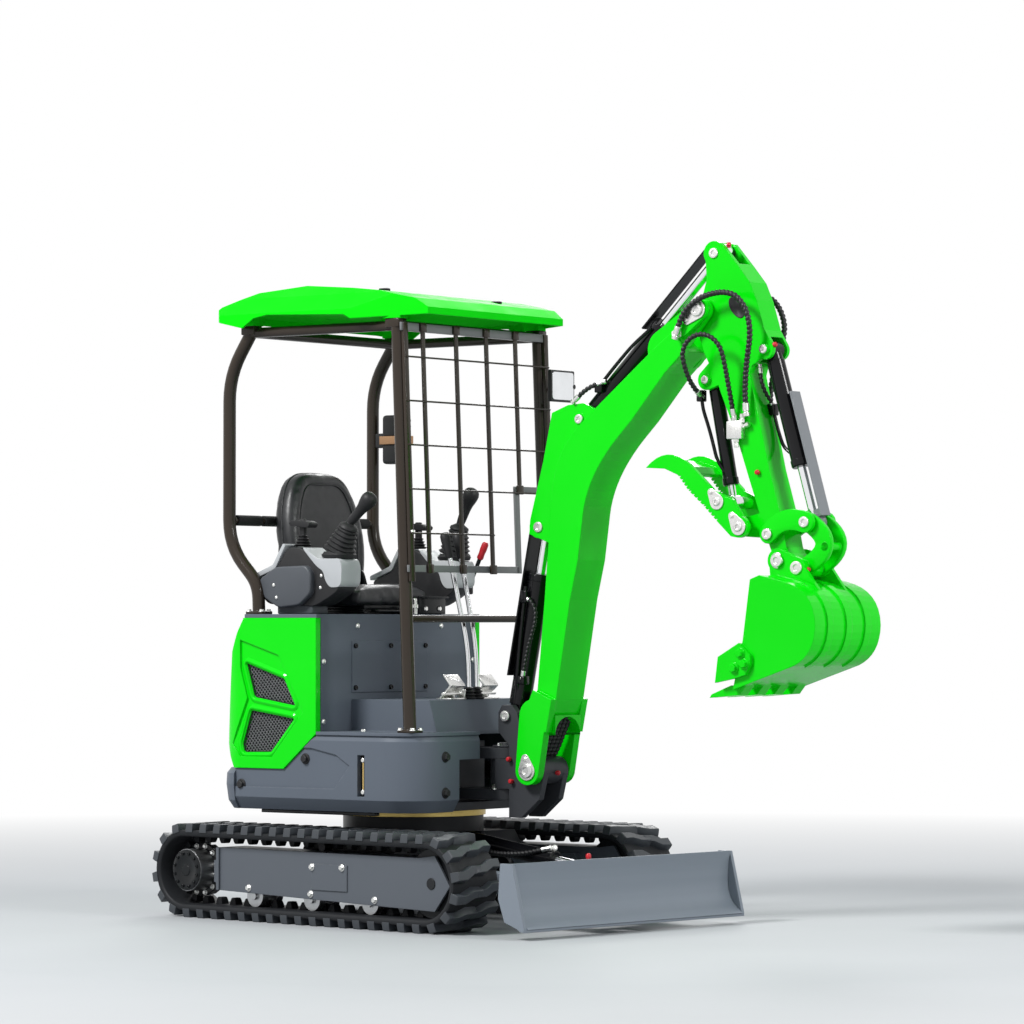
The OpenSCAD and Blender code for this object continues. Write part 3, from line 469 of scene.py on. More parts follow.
def tube(bm, line, radius, sides=12, pitch=None, ridge=0.0):
    """A round tube down a line. With a pitch, a raised band winds round it."""
    line = np.array([tuple(p) for p in line], float)
    tangent = np.gradient(line, axis=0)
    tangent /= np.linalg.norm(tangent, axis=1)[:, None]
    side = np.cross(tangent[0], (0, 0, 1) if abs(tangent[0][2]) < 0.9 else (1, 0, 0))
    travelled = np.concatenate([[0], np.cumsum(steps_of(line))])
    rings = []
    for point, t, s in zip(line, tangent, travelled):
        side = side - t * side.dot(t)
        side /= np.linalg.norm(side)
        up = np.cross(t, side)
        ring = []
        for i in range(sides):
            a = 2 * math.pi * i / sides
            r = radius
            if pitch:
                wave = 0.5 + 0.5 * math.cos(2 * math.pi * s / pitch - a)
                r += ridge * (min(1.0, wave * 1.7) - 0.75)
            ring.append(bm.verts.new(point + r * (math.cos(a) * side + math.sin(a) * up)))
        rings.append(ring)
    faces = [bm.faces.new(rings[0][::-1]), bm.faces.new(rings[-1])]
    for a, b in zip(rings, rings[1:]):
        faces += [bm.faces.new((a[i], a[(i + 1) % sides], b[(i + 1) % sides], b[i])) for i in range(sides)]
    for face in faces:
        face.smooth = True


def rounded(points, radius, steps=5, closed=True):
    """The same corners, each drawn as a bend; in the plane or in space."""
    corners = [Vector(p) for p in points]
    last = len(corners) - 1
    out = []
    for i, b in enumerate(corners):
        if not closed and i in (0, last):
            out.append(b)
            continue
        a, c = corners[i - 1], corners[(i + 1) % (last + 1)]
        r = min(radius, (a - b).length * 0.48, (c - b).length * 0.48)
        p, q = b + (a - b).normalized() * r, b + (c - b).normalized() * r
        for t in np.linspace(0, 1, steps):
            out.append(p * (1 - t) ** 2 + b * 2 * t * (1 - t) + q * t * t)
    return out


SHARP = 0.45


def slab(bm, outline, y0, y1, radius=1.5, segments=2, index=0, place=HOUSE):
    """An outline in X and Z, in millimetres, thick from y0 to y1, with rounded edges."""
    before = set(bm.faces)
    faces = skin(bm, [[place @ (Vector((p[0], y, p[1])) * MM) for p in outline] for y in (y0, y1)])
    if radius:
        edges = {e for f in faces for e in f.edges if e.calc_face_angle(0) > SHARP}
        bmesh.ops.bevel(bm, geom=list(edges), offset=radius * MM, segments=segments, affect="EDGES",
                        profile=0.5, clamp_overlap=True)
    for face in set(bm.faces) - before:
        face.material_index = index


def brick(bm, low, high, radius=2.0, segments=2, index=0, place=HOUSE):
    """A block between two corners in millimetres, with rounded edges."""
    (x0, y0, z0), (x1, y1, z1) = low, high
    slab(bm, [(x0, z0), (x1, z0), (x1, z1), (x0, z1)], y0, y1, radius, segments, index, place)


def disc(bm, centre, axis, profile, sides=24, index=0):
    """Turned shape on a point of the frame; profile in millimetres, along the axis."""
    lathe(bm, along(centre, axis), profile, sides, index)


def bar(bm, points, radius, sides=14, bend=0.0, place=house):
    """A round bar through points in millimetres, its corners bent to a radius."""
    route = rounded(points, bend, 7, closed=False) if bend else [Vector(p) for p in points]
    dense = [route[0]]
    for p in route[1:]:
        if (p - dense[-1]).length > 0.5:
            dense.append(p)
    tube(bm, [place(*p) for p in dense], radius * MM, sides)


# Node trees for what repeats.


def new_tree(name, *sockets):
    """A tree with these inputs, and the outputs of its input node."""
    tree = bpy.data.node_groups.new(name, "GeometryNodeTree")
    for label, kind in (*sockets, ("Finish", "Material")):
        tree.interface.new_socket(label, in_out="INPUT", socket_type="NodeSocket" + kind)
    tree.interface.new_socket("Made", in_out="OUTPUT", socket_type="NodeSocketGeometry")
    return tree, tree.nodes.new("NodeGroupInput").outputs


def close_tree(tree, given, made):
    """Every tree ends in real geometry with its finish on it."""
    real = join(tree, "GeometryNodeRealizeInstances", {0: made})
    paint = join(tree, "GeometryNodeSetMaterial", {"Geometry": real.outputs[0], "Material": given["Finish"]})
    join(tree, "NodeGroupOutput", {0: paint.outputs[0]})
    return tree


def set_out_tree():
    """Puts a part on every point, turned to the point's own out and roll directions."""
    tree, given = new_tree("set_out", ("Places", "Geometry"), ("Part", "Object"), ("Size", "Float"))
    out, roll = [join(tree, "GeometryNodeInputNamedAttribute", {"Name": label}, data_type="FLOAT_VECTOR")
                 for label in ("out", "roll")]
    turn = join(tree, "FunctionNodeAxesToRotation", {0: out.outputs[0], 1: roll.outputs[0]},
                primary_axis="Z", secondary_axis="X")
    part = join(tree, "GeometryNodeObjectInfo", {"Object": given["Part"], "As Instance": True})
    put = join(tree, "GeometryNodeInstanceOnPoints", {
        "Points": given["Places"], "Instance": part.outputs["Geometry"], "Rotation": turn.outputs[0],
        "Scale": given["Size"]})
    return close_tree(tree, given, put.outputs[0])


def wire_tree():
    """Gives every run of edges a round section."""
    tree, given = new_tree("wires", ("Runs", "Geometry"), ("Radius", "Float"), ("Sides", "Int"))
    runs = join(tree, "GeometryNodeMeshToCurve", {"Mesh": given["Runs"]})
    ring = join(tree, "GeometryNodeCurvePrimitiveCircle", {"Radius": given["Radius"],
                                                           "Resolution": given["Sides"]})
    sweep = join(tree, "GeometryNodeCurveToMesh", {"Curve": runs.outputs[0], "Profile Curve": ring.outputs[0],
                                                   "Fill Caps": True})
    return close_tree(tree, given, sweep.outputs[0])


SET_OUT = set_out_tree()
WIRES = wire_tree()


def grown(tree, seed, **values):
    """Runs a tree on a mesh and returns the plain mesh that it makes."""
    host = add_object("host", seed)
    work = host.modifiers.new("work", "NODES")
    work.node_group = tree
    for item in tree.interface.items_tree:
        if item.in_out == "INPUT" and item.name.lower() in values:
            work[item.identifier] = values[item.name.lower()]
    ready = host.evaluated_get(bpy.context.evaluated_depsgraph_get())
    mesh = bpy.data.meshes.new_from_object(ready)
    host.modifiers.remove(work)
    bpy.data.objects.remove(host)
    return mesh


def set_out(name, part, places, finish, body="house", size=1.0, smooth=35):
    """One mesh of a part repeated at places, each a point, its out direction and its roll."""
    seed = bpy.data.meshes.new(name + "_places")
    seed.from_pydata([tuple(p) for p, _, _ in places], [], [])
    for label, column in (("out", 1), ("roll", 2)):
        field = seed.attributes.new(label, "FLOAT_VECTOR", "POINT")
        field.data.foreach_set("vector", np.array([tuple(row[column]) for row in places], float).ravel())
    mesh = bpy.data.meshes.new(name + "_part")
    part.to_mesh(mesh)
    part.free()
    unit = add_object(name + "_part", mesh)
    made = grown(SET_OUT, seed, part=unit, size=size, finish=finish.material)
    bpy.data.objects.remove(unit)
    return finished(name, made, finish, body, smooth)


def wires(name, runs, radius, sides, finish):
    """Round wires along runs of points in the frame, one mesh on the house."""
    verts, edges = [], []
    for run in runs:
        first = len(verts)
        verts += [tuple(p) for p in run]
        edges += [(first + i, first + i + 1) for i in range(len(run) - 1)]
    seed = bpy.data.meshes.new(name + "_runs")
    seed.from_pydata(verts, edges, [])
    finished(name, grown(WIRES, seed, radius=radius * MM, sides=sides, finish=finish.material), finish)


# Parts that are set out many times, standing on Z = 0.


def turned(*steps):
    """A part of turned steps, each with its sides and its profile in millimetres."""
    bm = bmesh.new()
    for sides, profile in steps:
        lathe(bm, Matrix(), profile, sides)
    return bm


def hex_bolt():
    return turned((20, [(0, -2), (13.5, -2), (13.5, 1.5), (12.5, 2.5), (0, 2.5)]),
                  (6, [(0, 1.5), (10, 1.5), (10, 8.5), (8.5, 10), (0, 10)]))


def socket_bolt():
    """Round head with a hexagon socket."""
    return turned((18, [(0, -2), (9, -2), (9, 7), (8, 8.5), (4.5, 8.5), (4.5, 3.5), (0, 3)]))


def dome_screw():
    return turned((16, [(0, -2), (8.5, -2), (8.5, 0.8), (7, 3.2), (4, 4.6), (0, 5)]))


# Hoses. Each has a wound cover and crimped steel ends.

HOSE = 0.020
HOSE_STEP, HOSE_PITCH, HOSE_RIDGE = 0.0025, 0.016, 0.0030
CRIMP = ((0, 0), (10.5, 0), (12.5, 2), (12.5, 28), (9, 31), (9, 34), (13.5, 35), (13.5, 47), (8, 49), (0, 49))
CRIMP_GRIP = 0.018


def hose(name, points, body, blend=None, diameter=HOSE, ends=("first", "last")):
    """A hydraulic hose along points in the frame; blend is (other body, from point, to point), whose points are not
    used.
    """
    line = smooth_line(points, HOSE_STEP)
    bm = bmesh.new()
    tube(bm, line, diameter / 2, 16, HOSE_PITCH, HOSE_RIDGE)
    piece = finished(name, bm, hose_rubber, None if blend else body, None)
    if blend:
        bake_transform(piece)
    for end in ends:
        spot, inner = (line[0], line[1]) if end == "first" else (line[-1], line[-2])
        inward = Vector(inner - spot).normalized()
        bm = bmesh.new()
        lathe(bm, along(Vector(spot) + inward * CRIMP_GRIP, -inward),
              [(r * diameter / HOSE, h * diameter / HOSE) for r, h in CRIMP], 12)
        finished(name + "_" + end + "_fitting", bm, zinc, blend[0] if blend and end == "last" else body)


# Rubber tracks: a belt with interlocking lugs outside and drive lugs inside.

TRACK_Y, TRACK_Z = 475, 175
BELT_R, BELT_IN, BELT_HALF = 150, 126, 115
SPAN, LUG_HEIGHT, LUG_COUNT = 1250, 25, 46
SPROCKET_X = -SPAN / 2
LOOP = 2 * SPAN + 2 * math.pi * BELT_R
LUG_PLAN = ((-17, -115), (17, -115), (17, -76), (36, -34), (36, 14), (8, 14), (5, -22), (-17, -64))


def on_loop(s):
    """Where a length s along the belt is: middle X, outward direction and running direction."""
    bend, half = math.pi * BELT_R, SPAN / 2
    s %= LOOP
    if s < SPAN:
        return s - half, (0, -1), (1, 0)
    s -= SPAN
    if s < bend:
        a = s / BELT_R - math.pi / 2
        return half, (math.cos(a), math.sin(a)), (-math.sin(a), math.cos(a))
    s -= bend
    if s < SPAN:
        return half - s, (0, 1), (-1, 0)
    a = (s - SPAN) / BELT_R + math.pi / 2
    return -half, (math.cos(a), math.sin(a)), (-math.sin(a), math.cos(a))


def belt_point(s, radius, y):
    middle, out, run = on_loop(s)
    point = lower(middle + out[0] * radius, y, TRACK_Z + out[1] * radius)
    return point, Vector((out[0], 0, out[1])), Vector((run[0], 0, run[1]))


def lug_part(side):
    """One lug: a bent bar with sloping flanks and a worn top edge."""
    plan = [Vector((u, v * side)) for u, v in LUG_PLAN]
    middle = sum(plan, Vector((0, 0))) / len(plan)
    rings = []
    for height, grow in ((-8, 3), (2, 2), (LUG_HEIGHT - 3, -2), (LUG_HEIGHT, -5)):
        grown_plan = [p + (p - middle).normalized() * grow for p in plan]
        rings.append([Vector((p.x, max(-BELT_HALF - 2, min(BELT_HALF + 2, p.y)), height)) * MM
                      for p in grown_plan])
    bm = bmesh.new()
    skin(bm, rings)
    return bm


def drive_lug_part():
    bm = bmesh.new()
    skin(bm, [[Vector((u * a, v * b, h)) * MM for u, v in ((-1, -1), (1, -1), (1, 1), (-1, 1))]
              for h, a, b in ((-2, 17, 18), (14, 13, 17), (24, 9, 15), (26, 7, 13))])
    return bm


def tracks():
    edge = [(BELT_IN, 108), (BELT_IN + 4, 113), (BELT_R - 8, 115), (BELT_R - 2, 113), (BELT_R, 106)]
    profile = [(r, -w) for r, w in edge] + edge[::-1]
    pitch = LOOP / LUG_COUNT
    for side, name in SIDES:
        y = side * TRACK_Y
        bm = bmesh.new()
        # the belt in darker rubber than its lugs, as painted shade between them
        skin(bm, [[belt_point(s, r, y + w)[0] for r, w in profile] for s in np.linspace(0, LOOP, 161)[:-1]],
             loop=True)
        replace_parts(finished("track_belt_" + name, bm, shaded_belt_rubber, "base", 50), "track_" + name)
        places = []
        for i in range(LUG_COUNT):
            for shift, way in ((0.25, 1), (0.75, -1)):
                point, out, run = belt_point((i + shift) * pitch, BELT_R, y)
                places.append((point, out, run * way))
        set_out("track_lugs_" + name, lug_part(side), places, rubber, "base", smooth=30)
        places = [belt_point((i + 0.25) * pitch, BELT_IN, y) for i in range(LUG_COUNT)]
        set_out("drive_lugs_" + name, drive_lug_part(), [(point, -out, run) for point, out, run in places],
                shaded_belt_rubber, "base", smooth=30)


# Canopy: bent tubes, foam sleeve, front guard, mirror and box.

POST_Y = 425
POST_FOOT, POST_HEAD = (322, 700), (263, 2190)
POST_TUBE, RAIL_TUBE = 24, 19
GUARD_X = 24.2
REAR_TOP_X, REAR_X, CROSS_Z = -424, -540, 1480
POST_LEAN = math.atan((POST_FOOT[0] - POST_HEAD[0]) / (POST_HEAD[1] - POST_FOOT[1]))
POSTS = (HOUSE @ Matrix.Translation(Vector((POST_FOOT[0], 0, POST_FOOT[1])) * MM)
         @ Matrix.Rotation(-POST_LEAN, 4, "Y"))


def on_posts(x, y, z):
    """A point in the leaning frame of the front posts, in millimetres from their feet."""
    return POSTS @ (Vector((x, y, z)) * MM)


def canopy():
    bm = bmesh.new()
    top = POST_HEAD[1] - 15
    for y in (-POST_Y, POST_Y):
        bar(bm, [(-394, y, 1127), (-398, y, 1240), (REAR_X, y, 1385), (REAR_X, y, 2020), (REAR_TOP_X, y, 2188)],
            POST_TUBE, 20, bend=150)
        bar(bm, [(0, y, 3), (0, y, 1497)], POST_TUBE, 20, place=on_posts)
        bar(bm, [(REAR_TOP_X, y, top), (POST_HEAD[0], y, top)], RAIL_TUBE, 16)
        brick(bm, (POST_FOOT[0] - 36, y - 30, 700), (POST_FOOT[0] + 36, y + 30, 710), 2)
        brick(bm, (-434, y - 30, 1129), (-354, y + 30, 1139), 2)
        for x in (REAR_TOP_X, POST_HEAD[0]):
            brick(bm, (x - 40, y - 25, top - 8), (x + 23, y + 25, top + 26), 4)
    for x in (REAR_TOP_X, POST_HEAD[0]):
        bar(bm, [(x, -POST_Y, top), (x, POST_Y, top)], RAIL_TUBE, 16)
    bar(bm, [(REAR_X, -POST_Y, CROSS_Z), (REAR_X, POST_Y, CROSS_Z)], 13)
    bar(bm, [(0, -POST_Y, 412), (0, POST_Y, 412)], 14, place=on_posts)
    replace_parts(finished("canopy_tubes", bm, tube_paint), "canopy_frame")

    bm = bmesh.new()
    for y0, y1 in ((-388, -250), (-236, 236), (250, 388)):
        disc(bm, house(REAR_X, y0, CROSS_Z), facing(0, 1, 0),
             [(0, 0), (17, 0), (20, 3), (20, y1 - y0 - 3), (17, y1 - y0), (0, y1 - y0)], 20)
    finished("foam_sleeves", bm, foam)

    # front guard: flat uprights and thin rods, held by pale rails
    bm = bmesh.new()
    for y in (-325, -129, 53, 232):
        low = 880 if y > 200 else 580
        brick(bm, (GUARD_X + 8, y - 11, low), (GUARD_X + 14, y + 11, 1480), 1.2, place=POSTS)
        for z in (low + 12, 1470):
            brick(bm, (GUARD_X + 7, y - 17, z - 17), (GUARD_X + 19, y + 17, z + 17), 3, place=POSTS)
    for z in (720, 880, 1040, 1200, 1360):
        bar(bm, [(GUARD_X + 17, -POST_Y - 6, z), (GUARD_X + 17, 60 if z < 800 else POST_Y + 6, z)], 3.5, 10,
            place=on_posts)
    for y in (-POST_Y, POST_Y):
        brick(bm, (GUARD_X, y - 12, 880 if y > 0 else 545), (GUARD_X + 13.4, y + 12, 1484), 1.2, place=POSTS)
    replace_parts(finished("guard_bars", bm, tube_paint), "front_guard")
    bm = bmesh.new()
    for low, high in (((-445, 1455), (445, 1485)), ((-445, 580), (220, 605)), ((205, 580), (235, 900)),
                      ((205, 880), (445, 905))):
        brick(bm, (GUARD_X, *low), (GUARD_X + 8, *high), 1.2, place=POSTS)
    finished("guard_rails", bm, guard_paint)

    bm = bmesh.new()
    arm_y = POST_Y + 30
    bar(bm, [(272, arm_y, 1985), (404, arm_y, 1985)], 6)
    brick(bm, (268, POST_Y - 8, 1965), (282, POST_Y + 40, 2005), 3)
    slab(bm, rounded([(393, 1925), (410, 1925), (410, 2045), (393, 2045)], 7, 4), 312, 458, 5, 3)
    bar(bm, [(404, arm_y, 1985), (412, arm_y, 1985)], 9)
    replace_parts(finished("mirror_frame", bm, black_plastic), "mirror")
    bm = bmesh.new()
    pane = rounded([(-52, -66), (52, -66), (52, 66), (-52, 66)], 14, 5)
    for x, way in ((409.4, 1), (393.6, -1)):
        face = stand(x, 385, 1985) @ Matrix.Rotation(way * math.pi / 2, 4, "Y")
        skin(bm, [[face @ (Vector((*(p * (1 - draw / p.length)), height)) * MM) for p in pane]
                  for height, draw in ((0, 0), (1.4, 0), (2.2, 0.8))])
    finished("mirror_glass", bm, mirror_glass, smooth=30)

    bm = bmesh.new()
    brick(bm, (-476, 398, 1712), (-372, 456, 1796), 14, 4)
    brick(bm, (-476, 398, 1812), (-372, 456, 1902), 14, 4)
    for z in (1734, 1754, 1774, 1834, 1857, 1880):
        brick(bm, (-374, 408, z - 4), (-366, 446, z + 4), 2)
    brick(bm, (-515, 408, 1776), (-440, 442, 1832), 4)
    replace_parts(finished("lamp_housing", bm, black_plastic), "lamp_box")
    bm = bmesh.new()
    brick(bm, (-480, 390, 1788), (-350, 398, 1820), 1.5)
    brick(bm, (-358, 390, 1788), (-350, 440, 1820), 1.5)
    finished("lamp_bracket", bm, copper_bracket)


# Seat: two stuffed pads with piping, on a folded base.

VOXEL = 0.006
CLOTH_FRAMES = 20


def stuffed(name, bm, cap, ease):
    """Closed form, remeshed and blown up as cloth by no more than cap, then smoothed."""
    mesh = bpy.data.meshes.new(name)
    bm.to_mesh(mesh)
    bm.free()
    pad = add_object(name, mesh)

    def settle(kind, **settings):
        step = pad.modifiers.new(kind.lower(), kind)
        for key, value in settings.items():
            setattr(step, key, value)
        ready = pad.evaluated_get(bpy.context.evaluated_depsgraph_get())
        made = bpy.data.meshes.new_from_object(ready)
        pad.modifiers.remove(step)
        pad.data = made

    settle("REMESH", mode="VOXEL", voxel_size=VOXEL)
    settle("SMOOTH", factor=0.5, iterations=ease)
    rest = np.array([v.co[:] for v in pad.data.vertices])
    cloth = pad.modifiers.new("cloth", "CLOTH")
    stuff = cloth.settings
    stuff.use_pressure = True
    stuff.uniform_pressure_force = 3
    stuff.tension_stiffness = stuff.compression_stiffness = 40
    stuff.bending_stiffness = 20
    stuff.effector_weights.gravity = 0
    cloth.point_cache.frame_start, cloth.point_cache.frame_end = 1, CLOTH_FRAMES
    for step in range(1, CLOTH_FRAMES + 1):
        scene.frame_set(step)
    ready = pad.evaluated_get(bpy.context.evaluated_depsgraph_get())
    move = np.array([v.co[:] for v in ready.data.vertices]) - rest
    far = np.linalg.norm(move, axis=1)[:, None]
    rest += move * np.minimum(1, cap / np.maximum(far, 1e-9))
    pad.modifiers.remove(cloth)
    scene.frame_set(1)
    pad.data.vertices.foreach_set("co", rest.ravel())
    settle("SMOOTH", factor=0.5, iterations=12)
    settle("SUBSURF", levels=1, render_levels=1)
    mesh = pad.data
    mesh.shade_smooth()
    mesh.name = name
    mesh.materials.append(leather.material)
    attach(pad, "house")
    return pad


def piping(name, pad, routes):
    """Sewn cord laid on a pad's surface along routes near it."""
    bm = bmesh.new()
    for route in routes:
        line = []
        for p in smooth_line(route, 0.006):
            _, spot, normal, _ = pad.closest_point_on_mesh(Vector(p))
            line.append(tuple(spot + normal * 0.0008))
        line = np.array(line)
        for _ in range(3):
            line[1:-1] = (line[:-2] + 2 * line[1:-1] + line[2:]) / 4
        tube(bm, line, 0.0032, 8)
    finished(name, bm, leather, smooth=None)


SEAT_BASE = 1129
BACK = stand(-402, 0, 1222) @ Matrix.Rotation(math.radians(-9), 4, "Y")
BACK_MIDDLE = 215


def seat():
    # back: a broad shield with a raised roll round its edge
    shield = rounded([(-185, 0), (185, 0), (226, 150), (212, 310), (140, 448), (-140, 448), (-212, 310),
                      (-226, 150)], 120, 9)
    bm = bmesh.new()

    def outline(x, wide, high):
        """The shield at a depth of the back, drawn in about its middle."""
        return [BACK @ (Vector((x, p[0] * wide, BACK_MIDDLE + (p[1] - BACK_MIDDLE) * high)) * MM)
                for p in shield]

    def closed(ring):
        return [*ring, ring[0]]

    skin(bm, [outline(-48, 1, 1), outline(2, 1, 1)])
    skin(bm, [outline(-72, 0.93, 0.94), outline(-40, 0.93, 0.94)])
    tube(bm, closed(outline(6, 0.885, 0.90)), 0.024)
    skin(bm, [outline(-10, 0.76, 0.80), outline(12, 0.76, 0.80)])
    back = stuffed("seat_back", bm, 0.012, 14)
    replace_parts(back, "seat")
    piping("seat_back_piping", back, [closed(outline(-20, 1.02, 1)), closed(outline(22, 0.76, 0.80))])

    bm = bmesh.new()
    low = SEAT_BASE + 36
    slab(bm, rounded([(-425, low), (-98, low), (-92, low + 58), (-425, low + 46)], 22, 5), -205, 205, 0)
    for side in (-1, 1):
        slab(bm, rounded([(-420, low + 10), (-120, low + 10), (-120, low + 70), (-420, low + 74)], 24, 5),
             side * 160, side * 212, 0)
    slab(bm, rounded([(-200, low + 8), (-98, low + 8), (-96, low + 64), (-190, low + 66)], 20, 5), -190, 190, 0)
    cushion = stuffed("seat_cushion", bm, 0.010, 10)
    edge = [(-420, -150, 1222), (-300, -150, 1222), (-190, -148, 1224), (-180, 0, 1226), (-190, 148, 1224),
            (-300, 150, 1222), (-420, 150, 1222)]
    piping("seat_cushion_piping", cushion, [[house(*p) for p in edge]])

    # folded base with slide rails
    bm = bmesh.new()
    brick(bm, (-405, -150, SEAT_BASE + 18), (-115, 150, SEAT_BASE + 34), 4)
    for y in (-140, 140):
        brick(bm, (-410, y - 16, SEAT_BASE), (-110, y + 16, SEAT_BASE + 9), 2)
        brick(bm, (-400, y - 10, SEAT_BASE + 9), (-120, y + 10, SEAT_BASE + 18), 2)
    bar(bm, [(-112, -110, SEAT_BASE + 14), (-86, -110, SEAT_BASE + 12), (-86, 110, SEAT_BASE + 12),
             (-112, 110, SEAT_BASE + 14)], 5, 10, bend=12)
    for y in (-168, 168):
        slab(bm, rounded([(-430, SEAT_BASE + 20), (-330, SEAT_BASE + 20), (-380, SEAT_BASE + 170),
                          (-452, SEAT_BASE + 190)], 22, 5), y - 5, y + 5, 1.5)
    finished("seat_base", bm, black_paint)


# Controls: consoles with pale shells, bellows, grips and levers.

CONSOLE_Y = 345
CONSOLE_TOP = 1330
LEVER_Y = 24


def bellows(bm, place, base, head, height, ridges):
    """Square gaiter with rounded corners that narrows upward in folds; millimetres."""
    rings = []
    for t in np.linspace(0, 1, ridges * 4 + 1):
        fold = 0.5 - 0.5 * math.cos(2 * math.pi * t * ridges)
        half = base + (head - base) * t + (fold - 0.5) * 9 * (1 - 0.35 * t)
        square = rounded([(-half, -half), (half, -half), (half, half), (-half, half)], half * 0.75, 5)
        rings.append([place @ (Vector((*p, height * t)) * MM) for p in square])
    skin(bm, rings, smooth=True)


STICK_CAP = ((0, 96), (34, 96), (37, 100), (35, 108), (22, 116), (13, 122), (11.5, 150), (0, 150))
STICK_GRIP = ((0, 0), (15, 0), (17, 18), (18, 40), (19, 62), (22, 82), (27, 98), (30, 112), (31, 124), (28, 136),
              (21, 144), (10, 149), (0, 150))


def stick(bm, x, y, lean):
    """Joystick with its gaiter and a leaning bulb grip."""
    foot = stand(x, y, CONSOLE_TOP + 4)
    bellows(bm, foot, 56, 50, 26, 1)
    tilt = foot @ Matrix.Translation((0, 0, 0.022)) @ Matrix.Rotation(math.radians(lean), 4, "Y")
    bellows(bm, tilt, 52, 30, 98, 6)
    lathe(bm, tilt, STICK_CAP)
    lathe(bm, tilt @ Matrix.Translation((0, 0, 0.120)) @ Matrix.Rotation(math.radians(lean * 0.8), 4, "Y"),
          STICK_GRIP)


def controls():
    for side, name in SIDES:
        y = side * CONSOLE_Y
        bm = bmesh.new()
        brick(bm, (-335, y - 46, SEAT_BASE), (-165, y + 46, 1185), 6, 3, 1)
        slab(bm, rounded([(-440, 1256), (-336, 1292), (-284, 1374), (-218, 1376), (-132, 1320), (-34, 1322),
                          (-26, 1290), (-34, 1220), (-70, 1196), (-150, 1157), (-380, 1167)], 26, 6),
             y - 52, y + 52, 9, 3, 2)
        # side pod, standing out from the console
        slab(bm, rounded([(-318, 1304), (-172, 1308), (-150, 1278), (-152, 1204), (-204, 1162), (-304, 1152),
                          (-374, 1190), (-398, 1258)], 16, 6), y + side * 46, y + side * 78, 7, 3, 1)
        # pale shells: the saddle under the stick and the rail along the rear edge
        slab(bm, rounded([(-132, 1332), (-30, 1333), (-18, 1304), (-20, 1244), (-32, 1228), (-74, 1226),
                          (-96, 1250), (-106, 1286), (-140, 1306), (-196, 1362), (-206, 1378)], 14, 5),
             y - 56, y + 56, 9, 4, 0)
        slab(bm, rounded([(-444, 1258), (-338, 1297), (-288, 1384), (-300, 1392), (-350, 1312), (-446, 1276)],
                         7, 4), y - 55, y + 55, 3, 2, 0)
        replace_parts(finished("console_shells_" + name, bm, [grey_plastic, pod_plastic, black_plastic], smooth=42),
                    "console_" + name)

    bm = bmesh.new()
    stick(bm, -76, -CONSOLE_Y, 26)
    stick(bm, -76, CONSOLE_Y, 14)
    for y in (-CONSOLE_Y, CONSOLE_Y):
        bellows(bm, stand(-249, y, 1380), 27, 13, 44, 4)
        brick(bm, (-262, y - 9, 1418), (-236, y + 9, 1482), 5, 3)
        slab(bm, rounded([(-292, 1456), (-206, 1448), (-196, 1462), (-214, 1474), (-284, 1478), (-298, 1468)],
                         8, 4), y - 26, y + 26, 6, 3)
    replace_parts(finished("control_sticks", bm, grip_rubber, smooth=50), "joysticks")

    lock_y = CONSOLE_Y + 66
    bm = bmesh.new()
    bar(bm, [(-60, lock_y, 1225), (2, lock_y, 1352)], 8, 12)
    brick(bm, (-84, CONSOLE_Y + 48, 1205), (-38, lock_y + 6, 1245), 5, 2)
    finished("lock_lever", bm, black_paint)
    bm = bmesh.new()
    axis = house(25, lock_y, 1400) - house(-60, lock_y, 1225)
    disc(bm, house(-4, lock_y, 1340), axis, [(0, 0), (11, 0), (13, 4), (12, 22), (13.5, 40), (13, 62), (8, 70),
                                             (0, 71)], 20)
    finished("lock_grip", bm, red_plastic, smooth=50)

    # travel levers: bent chromed bars with rubber knobs, folding pedals and boots
    bm = bmesh.new()
    for side in (-1, 1):
        bar(bm, [(280, side * LEVER_Y, 826), (276, side * LEVER_Y, 1000), (198, side * 34, 1340)], 9, 16, bend=140)
    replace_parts(finished("lever_bars", bm, chrome, smooth=50), "travel_levers")
    bm = bmesh.new()
    for side in (-1, 1):
        lean = house(176, side * 38, 1430) - house(198, side * 34, 1335)
        disc(bm, house(198, side * 34, 1335), lean, [(0, 0), (13, 0), (15, 6), (16, 40), (19, 70), (19, 86),
                                                     (14, 97), (0, 100)], 20)
        bellows(bm, stand(280, side * LEVER_Y, 815), 24, 12, 46, 4)
    finished("lever_grips", bm, grip_rubber, smooth=50)
    bm = bmesh.new()
    for side in (-1, 1):
        y = side * 100
        brick(bm, (222, y - 46, 815), (292, y + 46, 821), 1.5)
        slab(bm, rounded([(230, 819), (238, 819), (292, 866), (254, 908), (249, 903), (281, 867)], 6, 4),
             y - 42, y + 42, 1, 2)
        bar(bm, [(262, y - 58, 836), (262, y + 58, 836)], 6, 12)
        brick(bm, (246, side * 46 - 4, 815), (282, side * 46 + 4, 852), 1.5)
    finished("pedals", bm, zinc)


# Vents in the covers: wire mesh, folded frames and rims.

VENT_UPPER = ((-406, 949), (-223, 891), (-170, 793), (-367, 823))
VENT_LOWER = ((-382, 775), (-174, 745), (-285, 622), (-416, 619), (-424, 650))


def clip_runs(outline, pitch, angle):
    """Stretches of parallel lines inside a convex outline."""
    d = Vector((math.cos(angle), math.sin(angle)))
    n = Vector((-d.y, d.x))
    corners = [Vector(p) for p in outline]
    heights = [c.dot(n) for c in corners]
    runs = []
    for k in np.arange(min(heights) + pitch / 2, max(heights), pitch):
        cuts = []
        for a, b in zip(corners, corners[1:] + corners[:1]):
            ha, hb = a.dot(n) - k, b.dot(n) - k
            if ha * hb < 0:
                cuts.append((a + (b - a) * (ha / (ha - hb))).dot(d))
        if len(cuts) == 2:
            runs.append([d * c + n * k for c in sorted(cuts)])
    return runs


